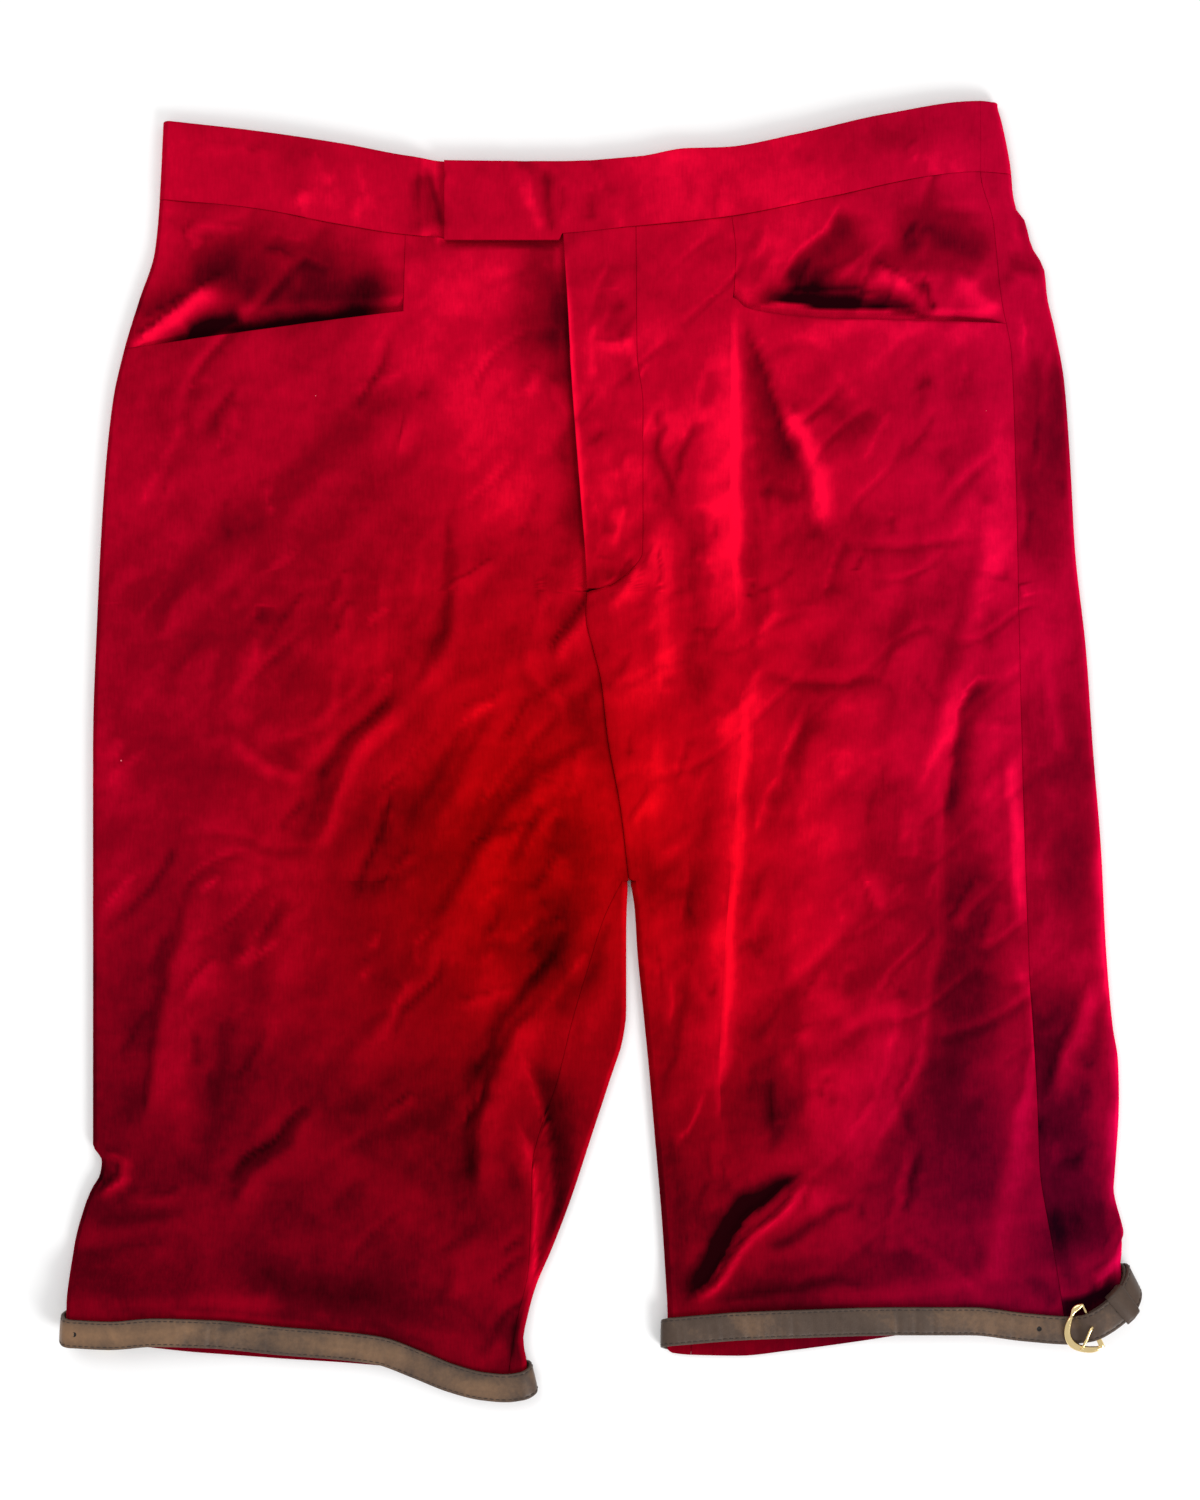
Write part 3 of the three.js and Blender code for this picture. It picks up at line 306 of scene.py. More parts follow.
        ([(924, 455), (914, 520), (905, 600), (890, 650)], 12, -0.5, -0.12),
        ([(836, 546), (900, 549), (980, 541)], 5, -0.7, -0.17),
        ([(800, 565), (778, 580), (752, 592)], 5, -0.4, -0.11),
        ([(800, 590), (840, 625), (868, 655)], 18, 0.5, 0.10),
        ([(752, 668), (790, 681), (840, 684), (886, 681)], 6, -1.1, -0.26),
        ([(820, 700), (860, 700), (890, 705)], 9, 0.4, 0.06),
        ([(893, 600), (885, 700), (868, 765)], 13, -0.4, -0.12),
        ([(760, 860), (752, 890), (745, 930)], 8, -0.6, -0.15),
        ([(986, 490), (983, 560), (972, 620), (958, 670), (940, 715), (922, 775)], 14, 1.4, 0.25),
        ([(996, 552), (1004, 566), (1000, 580)], 7, -0.5, -0.12),
        ([(975, 615), (990, 640), (985, 655)], 7, -0.5, -0.15),
        ([(985, 720), (1002, 726), (1012, 732)], 4, 0.6, 0.15),
        ([(1000, 790), (975, 812), (950, 840)], 6, -0.6, -0.15),
        ([(990, 340), (992, 450), (986, 560), (992, 650)], 26, 0, 0.16),
        ([(1000, 760), (1002, 860), (1006, 960), (1004, 1100)], 24, 0, 0.24),
        ([(1006, 740), (1013, 800), (1016, 870), (1019, 940)], 7, 1, 0.64),
        ([(998, 946), (1016, 962), (1032, 1000), (1034, 1050), (1024, 1092), (1006, 1128)], 6, 1, 0.37),
        ([(985, 400), (998, 460), (1004, 520)], 10, 0.4, 0.15),
        ([(792, 960), (798, 1040), (802, 1120)], 5, -0.8, -0.19),
        ([(818, 980), (838, 1008), (856, 1036)], 9, 0.6, 0.14),
        ([(850, 1050), (850, 1110), (830, 1160)], 36, 0.4, 0.11),
        ([(880, 900), (900, 960), (905, 1000)], 26, 0.2, 0.10),
        ([(770, 1000), (768, 1070), (772, 1140)], 26, -0.4, -0.17),
        ([(754, 1000), (770, 1040), (790, 1072)], 6, 0.5, 0.09),
        ([(690, 940), (682, 1000), (668, 1060), (660, 1100)], 7, -0.6, -0.19),
        ([(655, 900), (660, 960), (658, 1010)], 9, 0.3, 0.19),
        ([(664, 1120), (668, 1180), (672, 1250), (680, 1300)], 16, -0.3, -0.26),
        ([(722, 1160), (732, 1178), (745, 1188)], 5, 0.8, 0.12),
        ([(700, 1190), (725, 1200), (733, 1220)], 10, 0.7, 0.15),
        ([(860, 1200), (825, 1214), (780, 1240), (760, 1250)], 8, -1.1, -0.31),
        ([(900, 1020), (890, 1080), (858, 1140), (830, 1180)], 14, 0.7, 0.12),
        ([(918, 1145), (909, 1180), (907, 1216)], 4, -1, -0.28),
        ([(893, 1220), (926, 1246), (962, 1278), (992, 1300)], 5, 1, 0.17),
        ([(1020, 1080), (1010, 1150), (1000, 1210), (992, 1260), (994, 1296)], 13, 0.8, 0.42),
        ([(960, 1200), (972, 1235), (984, 1270)], 6, -0.4, -0.12),
        ([(1044, 1170), (1024, 1220), (1014, 1262)], 14, 0.3, 0.07),
        ([(930, 1060), (960, 1120), (965, 1180)], 34, 0, -0.12),
        ([(760, 1262), (820, 1256), (880, 1250)], 15, -0.3, -0.15),
        ([(700, 1300), (750, 1293), (830, 1284), (900, 1282)], 7, -0.4, -0.34),
        # Painted shadow along the strap's top edge
        ([(670, 1312), (800, 1306), (930, 1302), (1060, 1312)], 4, 0, -0.25),
        ([(1020, 1270), (1040, 1290), (1058, 1304)], 12, -0.3, -0.25),
        ([(1055, 1240), (1058, 1280), (1060, 1300)], 6, -0.3, -0.19),
        ([(745, 755), (752, 800), (748, 850)], 6, -0.4, -0.12),
        ([(640, 800), (650, 870), (650, 895)], 7, -0.6, -0.19),
        ([(731, 296), (731, 380), (730, 470), (731, 560), (736, 640)], 18, 1.7, 0.44, 1),
        ([(733, 298), (733, 400), (732, 500), (734, 600)], 2.8, 0.2, 0.65),
        ([(738, 630), (743, 700), (738, 790), (732, 880), (727, 960), (722, 1040), (716, 1110), (722, 1176)],
         16, 1.7, 0.34, 1),
        ([(733, 850), (728, 950), (723, 1030), (716, 1090)], 3, 0.3, 0.34),
        ([(690, 880), (688, 960), (684, 1040), (684, 1140)], 30, 0.4, 0.14),
        ([(742, 308), (754, 350), (768, 396), (784, 436), (802, 476)], 10, -2.0, -0.62, 1),
        ([(746, 340), (752, 400), (760, 470), (768, 530)], 17, -0.3, -0.3, -1),
        ([(768, 388), (786, 408), (804, 440), (816, 480), (819, 530)], 8, 1.6, 0.72),
        ([(806, 1171), (778, 1188), (752, 1206), (730, 1236), (704, 1276), (680, 1302)], 7.5, -3.2, -1.5, 1),
        ([(812, 1171), (782, 1208), (748, 1246), (712, 1284), (682, 1308)], 3.4, 1.8, 0.7),
        ([(764, 1192), (746, 1210), (728, 1240), (712, 1266)], 8, 0, -1.4, 1),
        ([(956, 700), (948, 790), (950, 880), (944, 960), (930, 1060), (894, 1130), (856, 1192)],
         20, -1.5, -0.24, -1),
        ([(990, 830), (985, 930), (976, 1030), (964, 1130), (950, 1250)], 50, -0.4, -0.34),
        ([(895, 960), (890, 1030), (862, 1110), (832, 1170)], 20, 0.9, 0.22, 1),
        ([(800, 880), (797, 960), (802, 1050), (812, 1120), (822, 1166)], 26, 1.0, 0.24, -1),
        ([(768, 880), (762, 980), (766, 1080), (780, 1150)], 26, -0.5, -0.12),
        ([(808, 690), (795, 745), (770, 795), (752, 850)], 9, -1.2, -0.3, -1),
        ([(818, 720), (803, 790), (795, 850)], 20, 0.9, 0.2, -1),
        ([(1004, 679), (976, 684), (960, 704), (956, 756), (949, 800), (941, 840)], 7, -2.0, -0.75, -1),
        ([(968, 690), (962, 730), (960, 780)], 14, 1.0, 0.18, -1),
    ],
    "side": [
        ([(1049, 330), (1042, 420), (1033, 485)], 5, 0.6, 0.22),
        ([(1036, 506), (1028, 524), (1024, 548)], 4, -0.6, -0.25),
        ([(1028, 650), (1026, 720), (1030, 790)], 8, -0.3, -0.19),
        ([(1064, 600), (1068, 660), (1062, 700)], 14, 0.4, 0.06),
        ([(1060, 705), (1054, 735), (1072, 762)], 5, 0.6, 0.22),
        ([(1045, 760), (1042, 860), (1048, 950)], 7, 0.4, 0.09),
        ([(1100, 790), (1106, 880), (1108, 960), (1116, 1040)], 8, 0.6, 0.22),
        ([(1098, 1000), (1092, 1040), (1090, 1080)], 8, -0.7, -0.25),
        ([(1108, 1120), (1108, 1190), (1116, 1246)], 6, 0.6, 0.31),
        ([(1044, 1120), (1052, 1150), (1058, 1168)], 5, 0.6, 0.19),
        ([(1056, 1166), (1074, 1162), (1086, 1148)], 5, -0.7, -0.25),
        ([(1050, 1190), (1062, 1250), (1070, 1300)], 10, -0.4, -0.31),
        ([(1122, 1222), (1112, 1240), (1114, 1256)], 4, 0.7, 0.25),
        ([(1122, 1254), (1110, 1266), (1098, 1276), (1088, 1284)], 7, 0.8, 0.75),
        # Painted shadow beside the buckle, along the strap's top edge
        ([(1050, 1306), (1078, 1300), (1102, 1288), (1118, 1270)], 9, -0.5, -0.85, -1),
        ([(1016, 212), (1026, 232), (1030, 246)], 5, -0.6, -0.37),
        ([(1000, 256), (1020, 262), (1044, 268)], 9, -0.6, -0.34),
        ([(1006, 274), (1026, 280), (1042, 292)], 6, 0.7, 0.22),
        ([(1004, 215), (1014, 240), (1004, 250)], 6, 0.4, 0.09),
        ([(1050, 330), (1056, 420), (1050, 520), (1040, 600)], 30, -0.6, -0.58),
        ([(1062, 640), (1066, 760), (1068, 860), (1070, 960)], 34, -0.6, -0.44),
        ([(1050, 960), (1060, 1100), (1072, 1200), (1080, 1260)], 42, -0.4, -0.6),
        ([(1102, 975), (1082, 1008), (1066, 1052), (1048, 1110)], 8, 1.2, 0.62),
        ([(1048, 620), (1052, 700), (1050, 760)], 8, 0.4, 0.3),
        ([(1096, 700), (1102, 850), (1106, 960), (1118, 1050), (1118, 1180), (1118, 1240)], 9, 0.4, 0.5),
    ],
    "yoke_right": [
        ([(165, 256), (220, 262), (300, 274), (400, 282)], 36, -0.4, -0.5),
        ([(180, 268), (220, 276), (262, 296)], 18, -0.6, -0.34),
        ([(122, 346), (150, 330), (180, 306), (206, 284), (222, 277)], 8, 2.8, 0.95, -1),
        ([(133, 322), (165, 304), (190, 286)], 8, -0.8, -0.5, 1),
        ([(240, 306), (300, 303), (400, 298)], 20, -0.6, -0.5),
        # Painted shade in the pocket's mouth
        ([(180, 334), (210, 322), (244, 312)], 9, -1.6, -1.3),
        ([(130, 346), (190, 336), (260, 325), (330, 318), (404, 309)], 8, -1.0, -1.6),
        ([(150, 212), (200, 216), (250, 214)], 10, 0.2, 0.12),
        ([(375, 240), (390, 260), (400, 280)], 12, 0, 0.2),
    ],
    "yoke_left": [
        ([(950, 272), (966, 282), (985, 302), (1000, 312)], 9, 1.8, 0.5),
        ([(915, 222), (925, 240), (930, 225)], 5, 0.8, 0.2),
        ([(752, 232), (775, 240), (782, 262)], 16, 0.6, 0.26),
        # Painted shade in the pocket's mouth
        ([(945, 316), (975, 320), (1004, 322)], 4, 0, -0.6),
        ([(745, 306), (772, 300), (820, 301), (870, 304), (912, 309), (940, 318)], 9, -1.8, -2.1, 1),
        ([(775, 286), (820, 280), (870, 284)], 22, -0.6, -0.6),
        ([(772, 292), (800, 291), (851, 291), (893, 303)], 3, 0.8, 0.4),
        ([(872, 262), (896, 278), (918, 294), (932, 312)], 9, 2.2, 0.62, -1),
        ([(888, 244), (930, 232), (960, 240), (1000, 256)], 18, -0.9, -0.75),
        ([(840, 246), (880, 258), (930, 262), (985, 264)], 14, -0.5, -0.36),
        ([(846, 196), (832, 224), (800, 256), (780, 286)], 13, -1.4, -0.72, -1),
        ([(922, 274), (931, 294), (938, 314)], 6, -1.2, -0.8, 1),
    ],
    "fly": [
        ([(563, 234), (568, 310), (572, 386), (575, 418), (580, 489), (586, 567), (587, 592)], 2.4, 0.1, 0.8),
        ([(592, 344), (612, 346), (636, 342)], 4, 0.7, 0.4),
        ([(604, 322), (622, 326), (634, 330)], 12, -0.5, -0.26),
        ([(592, 265), (612, 280), (620, 300)], 14, 0.3, 0.1),
        ([(602, 428), (590, 440), (582, 446)], 5, -0.6, -0.2),
        ([(616, 470), (620, 500), (622, 524)], 6, -0.6, -0.2),
        ([(600, 430), (606, 500), (610, 560)], 14, 0.3, 0.14),
        ([(572, 360), (580, 460), (590, 560)], 5, 0.4, 0.18),
        ([(602, 582), (622, 572), (636, 556)], 5, -0.4, -0.3),
    ],
    "band": [
        ([(543, 165), (549, 200), (557, 236)], 5, -0.5, -0.35),
        ([(514, 175), (530, 205), (545, 232)], 7, 0.5, 0.35),
        ([(566, 170), (572, 200), (566, 230)], 8, 0.2, 0.12),
        ([(600, 162), (612, 190), (610, 215)], 9, 0.2, 0.1),
        ([(672, 152), (688, 180), (692, 208)], 7, -0.3, -0.16),
        ([(624, 165), (628, 190), (630, 215)], 6, -0.2, -0.1),
        ([(190, 150), (230, 148), (250, 146)], 5, 0.2, 0.12),
        ([(242, 146), (256, 144), (268, 142)], 5, -0.2, -0.18),
        ([(396, 170), (405, 200), (410, 225)], 10, 0.2, 0.12),
        ([(736, 165), (745, 190), (752, 205)], 9, 0.2, 0.12),
        ([(860, 140), (900, 140), (950, 150)], 16, 0, -0.14),
        ([(795, 145), (805, 155), (815, 150)], 8, -0.2, -0.12),
        ([(470, 175), (490, 195), (500, 220)], 12, 0.2, 0.14),
        # Painted shade beside the tab's end
        ([(424, 165), (432, 198), (438, 234)], 15, -0.2, -0.8, 1),
        ([(600, 170), (680, 160), (770, 150)], 22, 0, 0.12),
        ([(780, 160), (880, 138), (990, 120)], 30, 0, -0.26),
        ([(170, 140), (280, 160), (420, 185)], 34, 0, -0.16),
    ],
    "back": [
        ([(180, 420), (240, 520), (260, 640), (230, 760)], 18, 1.2, -0.25),
        ([(420, 380), (380, 500), (400, 640), (350, 760)], 16, 1.3, -0.2),
        ([(520, 700), (430, 780), (330, 830), (200, 850)], 14, 1.2, -0.25),
        ([(560, 940), (500, 1040), (440, 1120), (330, 1180)], 16, 1.3, -0.3),
        ([(200, 960), (230, 1080), (200, 1200)], 14, 1.1, 0.2),
        ([(860, 360), (820, 480), (850, 620), (800, 760)], 16, 1.2, -0.2),
        ([(1000, 420), (960, 560), (980, 700), (940, 820)], 18, 1.3, -0.25),
        ([(700, 720), (780, 780), (880, 800), (1000, 780)], 14, 1.2, 0.2),
        ([(720, 1000), (800, 1080), (900, 1120), (1040, 1100)], 14, 1.2, -0.25),
        ([(760, 900), (740, 1040), (770, 1180)], 15, 1.2, 0.2),
        ([(640, 320), (660, 440), (640, 560)], 16, 1.1, -0.2),
        ([(300, 330), (420, 350), (560, 330)], 16, 1.0, 0.2),
    ],
}


def small_creases(seed, count, low, high, steep):
    """Short fine creases, strewn between the corners low and high, leaning about steep from the vertical."""
    rng = np.random.default_rng(seed)
    made = []
    for _ in range(count):
        start = rng.uniform(low, high)
        long, turn, bow = rng.uniform(18, 75), steep + rng.normal(0, 0.35), rng.uniform(-0.25, 0.25)
        way = np.array([math.sin(turn), math.cos(turn)])
        bent = np.array([way[1], -way[0]]) * bow
        points = [tuple(start + long * (k * way + k * (1 - k) * bent)) for k in (0, 0.33, 0.67, 1)]
        up = rng.choice([-1, 1]) * rng.uniform(0.25, 0.6)
        # Each crease is coloured lighter where it rises and darker where it sinks: painted highlight and
        # shade.
        made.append((points, rng.uniform(4, 7), up, up * rng.uniform(0.3, 0.55), rng.choice([-1, 1])))
    return made


# Fine creases strewn over each group: seed, how many, the corners between which they lie, and their lean
STREWN = [
    ("leg_right", 61, 62, (100, 360), (560, 1100), -0.5),
    ("leg_right", 62, 24, (480, 620), (590, 1000), -0.7),
    ("leg_left", 63, 76, (640, 340), (1000, 1200), -0.12),
    ("leg_left", 64, 34, (630, 400), (720, 1000), 0.0),
    ("side", 65, 18, (1020, 300), (1100, 1200), 0.1),
    ("fly", 66, 12, (585, 250), (630, 540), 0.1),
    ("band", 67, 26, (170, 130), (980, 200), 0.2),
    ("yoke_right", 68, 8, (140, 210), (390, 260), 0.9),
    ("yoke_left", 69, 10, (745, 220), (980, 270), -0.6),
]
for group, *how in STREWN:
    strokes[group] += small_creases(*how)

# Which way the key light comes from, seen from above
LIGHT = (0.62, -0.78)


def field(u, v):
    """From half millimetres in the camera's field to millimetres from the middle of the shorts."""
    return (u - 600) / 2, (750 - v) / 2


def stroke_sum(groups, x, y):
    """Rise, and glow of painted shade and highlight, that the strokes of these groups give at x, y."""
    rise, glow = np.zeros_like(x), np.zeros_like(x)
    strayed_x = x + 2.0 * patchy(x, y, 19, 41) + 0.8 * patchy(x, y, 7, 42)
    strayed_y = y + 2.0 * patchy(x, y, 19, 43) + 0.8 * patchy(x, y, 7, 44)
    for points, wide, up, light_up, *lean in (stroke for group in groups for stroke in strokes[group]):
        p = np.array([field(*q) for q in points])
        (x0, y0), (x1, y1) = p.min(axis=0) - 1.9 * wide, p.max(axis=0) + 1.9 * wide
        near = (strayed_x > x0) & (strayed_x < x1) & (strayed_y > y0) & (strayed_y < y1)
        px, py = (strayed_x[near], strayed_y[near]) if wide > 3 else (x[near], y[near])
        if not px.size:
            continue
        steps = np.diff(p, axis=0)
        lengths = np.hypot(*steps.T)
        starts = np.concatenate([[0], np.cumsum(lengths)])
        nearest, place, aside = np.full_like(px, 1e9), np.zeros_like(px), np.zeros_like(px)
        for k, (a, step, long) in enumerate(zip(p, steps, lengths)):
            t = np.clip(((px - a[0]) * step[0] + (py - a[1]) * step[1]) / long**2, 0, 1)
            dx, dy = px - a[0] - t * step[0], py - a[1] - t * step[1]
            d = np.hypot(dx, dy)
            closer = d < nearest
            nearest = np.where(closer, d, nearest)
            place = np.where(closer, (starts[k] + t * long) / starts[-1], place)
            aside = np.where(closer, (dx * LIGHT[0] + dy * LIGHT[1]) / (wide / 2), aside)
        keen = -0.8 * lean[0] if lean else 0.42 * math.copysign(1, light_up + up / 100)
        reach = wide / 2 * (1 + keen * np.tanh((4 if lean else 1.3) * aside))
        shape = np.exp(-((nearest / reach) ** 2)) * ease(place / 0.22) * ease((1 - place) / 0.22)
        rise[near] += up * shape
        glow[near] += light_up * shape
    return rise, glow


def patchy(x, y, size, seed):
    """Smooth noise from -1 to 1, with hills about size apart."""
    count = 96
    grid = np.random.default_rng(seed).uniform(-1, 1, (count, count))
    u, v = x / size + count / 2, y / size + count / 2
    i, j = np.floor(u).astype(int), np.floor(v).astype(int)
    a, b = ease(u - i), ease(v - j)
    i, j = i % count, j % count
    k, m = (i + 1) % count, (j + 1) % count
    return mix(mix(grid[i, j], grid[k, j], a), mix(grid[i, m], grid[k, m], a), b)


# How much lighter each leg is coloured down its length, darker towards the hems: y, glow
down_each_leg = {"right": through([(310, 0.36), (155, 0.2), (0, 0.04), (-120, -0.18), (-190, -0.36),
                              (-300, -0.36)]),
            "left": through([(310, 0.4), (155, 0.3), (0, 0.26), (-120, 0.12), (-190, -0.1), (-300, -0.42)])}


def broad_glow(x, y):
    """Glow at x, y: by leg, lighter at the middle, and in soft patches."""
    middle = np.exp(-(((x - 20) / 70) ** 2)) * ease((y + 190) / 120)
    patches = 0.16 * patchy(x, y, 55, 51) + 0.13 * patchy(x + 0.5 * y, y, 23, 52)
    by_leg = mix(down_each_leg["right"](y), down_each_leg["left"](y), ease((x + 30) / 90))
    return by_leg + 0.16 * middle + patches


def cool_tone(x, y):
    """How much blue the red holds, usually 1, as a painted sheen and shade: least at the middle, and most at
    the left leg's hem.
    """
    warm = 15.5 * np.exp(-(((x + 40) / np.where(x > -40, 150, 110)) ** 2) - ((y + 50) / 155) ** 2)
    cold = 6 * ease((x - 60) / 180) + 8 * ease((x - 40) / 180) * ease((-100 - y) / 120)
    return ((20 + cold - warm) / 18) ** 1.5


def crumple(x, y):
    """Small soft creases, in no order, most of them aslant."""
    u, v = 0.5 * (0.75 * x + 0.66 * y), 0.75 * y - 0.66 * x
    small = 0.5 * patchy(x, y, 38, 3) + 0.35 * patchy(u, v, 15, 4) + 0.12 * patchy(x, y, 7, 8)
    for size, seed, deep in ((42, 5, 0.5), (24, 7, 0.35)):
        here = ease(0.3 + patchy(x, y, 62, seed + 30))
        small -= deep * np.exp(-((patchy(u, v, size, seed) / 0.1) ** 2)) * here
    return small


def lift(side, x, y):
    """A leg's underside lifts over the strap below its hem, and more over the strap's doubled ends."""
    over = ease((back_hem[side](x) + STRAP_WIDE + 8 + HEM_REACH - y) / HEM_REACH)
    folded = 6.2 * ease((-165 - x) / 60) if side == "right" else 2.6 * ease((x - 190) / 60)
    return (LEATHER + GAP + folded) * over


def top_height(side, x, y, groups=()):
    """Height of the top layer's outer face, and the glow of its pile, with the painted shade and highlight of
    its folds.
    """
    inside = np.where(y > CROTCH_Y, np.hypot(x - CENTRE_BACK, y - CROTCH_Y), np.abs(x - inner_edge[side](y)))
    d = np.minimum(np.abs(x - outer_edge[side](y)), inside)
    rise, glow = stroke_sum(groups, x, y)
    calm = 1 - 0.5 * ease((-140 - y) / 70)
    rise = rise + (CRUMPLE * crumple(x, y) * calm if groups else 0)
    raw = EDGE_HIGH + CROWN * ease(d / CROWN_REACH) + rise * ease(d / 9) - LEAST_HIGH
    high = LEAST_HIGH + (raw + np.sqrt(raw * raw + 0.6)) / 2
    hem = ease((strap_top[side](x) + HEM_REACH * 0.6 - y) / (HEM_REACH * 0.6))
    return mix(high, HEM_HIGH, hem) + lift(side, x, y), glow


def band_height(x):
    """Height of the waistband's outer face."""
    d = np.minimum(x - outer_edge["right"](290), outer_edge["left"](300) - x)
    return BAND_EDGE_HIGH + BAND_CROWN * ease(d / 70)


def spaced(wide, step, fine_start=False, fine_end=False):
    """Places 0 to 1 across a stretch, about step apart and closer beside a cut edge."""
    near = [e / wide for e in EDGE_STEPS[1:]]
    low, high = (near[-1] if fine_start else 0), (1 - near[-1] if fine_end else 1)
    inner = np.linspace(low, high, max(2, int(round((high - low) * wide / step)) + 1))
    start = [0, *near[:-1]] if fine_start else []
    end = [*(1 - e for e in reversed(near[:-1])), 1] if fine_end else []
    return np.array([*start, *inner, *end])


def stretch(point, places, low=-math.inf, high=math.inf):
    """A strip of columns of a piece: point(t, v) gives its outer face and glow, for rows from low to high."""
    return {"point": point, "places": places, "low": low, "high": high}


def smooth_mesh(name, vertices, faces, attributes, material):
    """A smooth-shaded object with attributes at its points."""
    mesh = bpy.data.meshes.new(name)
    mesh.from_pydata(vertices.tolist(), [], faces)
    for key, values in attributes.items():
        mesh.attributes.new(key, "FLOAT", "POINT").data.foreach_set("value", values.astype(np.float32))
    mesh.polygons.foreach_set("use_smooth", [True] * len(mesh.polygons))
    mesh.materials.append(material)
    mesh.update()
    made = bpy.data.objects.new(name, mesh)
    bpy.context.scene.collection.objects.link(made)
    return made


def cloth(name, material, wall, turn, stretches, rows, flush=()):
    """A piece of cloth with a wall, on a net of columns and rows. Its cut edges are rounded, but not in the
    flush columns. It carries its glow, painted shade, highlight and sheen with the lie of its pile, where its
    rim is and how cool its red is."""
    rows = np.asarray(rows)
    nets, glows, lows, highs = [], [], [], []
    for k, part in enumerate(stretches):
        places = part["places"] if k == 0 else part["places"][1:]
        t, v = np.meshgrid(places, rows, indexing="ij")
        p, glow = part["point"](t, v)
        nets.append(p)
        glows.append(glow)
        lows += [part["low"]] * len(places)
        highs += [part["high"]] * len(places)
    outer, glow = np.concatenate(nets), np.concatenate(glows)
    middle = (rows[:-1] + rows[1:]) / 2
    low, high = np.array(lows)[1:, None], np.array(highs)[1:, None]
    cells = (middle > low) & (middle < high)

    across, down = np.gradient(outer, axis=0), np.gradient(outer, axis=1)
    normal = np.cross(across, down)
    normal *= turn / np.maximum(np.linalg.norm(normal, axis=2, keepdims=True), 1e-9)

    padded = np.pad(cells, 1)
    corner_cells = [padded[:-1, :-1], padded[1:, :-1], padded[:-1, 1:], padded[1:, 1:]]
    touching = sum(c.astype(int) for c in corner_cells)
    used = touching > 0
    edge = used & (touching < 4)
    for column in flush:
        edge[column] = False
    tree = KDTree(int(edge.sum()))
    for k, p in enumerate(outer[edge]):
        tree.insert(p, k)
    tree.balance()
    depth = np.full(used.shape, np.inf)
    depth[used] = [tree.find(p)[2] for p in outer[used]]
    turned_in = np.clip(1 - depth / EDGE_SOFT, 0, 1)
    pull = EDGE_SOFT * 0.8 * (1 - np.sqrt(1 - turned_in**2))
    inner = outer - normal * (wall - pull)[..., None]
    outer = outer - normal * pull[..., None]

    # Painted light on the pile: lighter on slopes turned to the key light, darker on slopes turned from it,
    # and a painted sheen on faces turned aside.
    sunward = normal[..., 0] * LIGHT[0] + normal[..., 1] * LIGHT[1]
    upward = np.clip(normal[..., 2], 0, 1)
    glow = glow + (SLOPE_PAINTED_SHADE * np.tanh(4.5 * sunward) + EDGE_PAINTED_SHEEN * (1 - upward)) * ease(upward * 4)
    glow = glow + broad_glow(outer[..., 0], outer[..., 1])
    rim = np.exp(-depth / RIM_WIDE)

    number = np.full(used.shape, -1)
    number[used] = np.arange(used.sum())
    count = int(used.sum())
    faces = []

    def quad(a, b, c, d):
        faces.append((a, b, c, d) if turn > 0 else (a, d, c, b))

    for i, j in np.argwhere(cells):
        ring = [number[i, j], number[i + 1, j], number[i + 1, j + 1], number[i, j + 1]]
        ring = [int(q) for q in ring]
        quad(*ring)
        quad(ring[3] + count, ring[2] + count, ring[1] + count, ring[0] + count)
        beside = [padded[i + 1, j], padded[i + 2, j + 1], padded[i + 1, j + 2], padded[i, j + 1]]
        for k in range(4):
            if not beside[k]:
                a, b = ring[k], ring[(k + 1) % 4]
                quad(b, a, a + count, b + count)
    vertices = np.concatenate([outer[used], inner[used]]) * MM
    values = {"glow": glow, "rim": rim, "cool": cool_tone(outer[..., 0], outer[..., 1])}
    attributes = {key: np.tile(value[used], 2) for key, value in values.items()}
    return smooth_mesh(name, vertices, faces, attributes, material)


def row_line(side, under):
    """Row lines of one leg, by v: 0 waist seam, 1 pocket mouth, 2 crotch, 3 top of the strap, 4 hem."""
    def strap(x):
        return back_hem[side](x) + STRAP_WIDE if under else strap_top[side](x)

    def hem(x):
        return back_hem[side](x) if under else strap_top[side](x) - STRAP_WIDE + 1

    lines = [shifted(waist_seam, -SEAM), pocket_mouth[side], lambda x: CROTCH_Y + 0 * x, strap, hem]

    def row(v, x):
        k = np.clip(np.floor(v), 0, 3).astype(int)
        values = np.stack([line(x) for line in lines])
        upper = np.take_along_axis(values, k[None], 0)[0]
        lower = np.take_along_axis(values, k[None] + 1, 0)[0]
        return mix(upper, lower, v - k)

    return row


def flat_point(side, under, from_line, to_line, groups=(), settle=None):
    """A leg's top or under layer, from one line to another. settle presses it under another piece."""
    row = row_line(side, under)

    def point(t, v):
        y = row(v, np.full_like(t, -120.0 if side == "right" else 120.0))
        for _ in range(8):
            x = mix(from_line(y), to_line(y), t)
            y = row(v, x)
        if under:
            dent, glow = stroke_sum(["back"], x, y)
            away = ease((y - back_hem[side](x) - 50) / 30) * ease((outer_edge["left"](y) - x - 12) / 20)
            away = away * ease((x - outer_edge["right"](y) - 24) / 20)
            z = lift(side, x, y) + (0.75 * np.clip(dent, 0, 1.4) + 0.3 * np.clip(crumple(x, y), 0, 1)) * away
        else:
            z, glow = top_height(side, x, y, groups)
        if settle:
            z = settle(x, y, z)
        return np.stack([x, y, z], axis=-1), glow

    return point


def rounded(top, bottom, reach, out, from_top):
    """A rounded edge that stands out by reach between the top layer's end and the bottom layer's."""
    def point(t, v):
        angle = math.pi * (t if from_top else 1 - t)
        (a, glow), (b, _) = top(0 * t, v), bottom(0 * t, v)
        p = mix(a, b, ((1 - np.cos(angle)) / 2)[..., None])
        p[..., 0] += out * reach * np.sin(angle)
        return p, glow

    return point


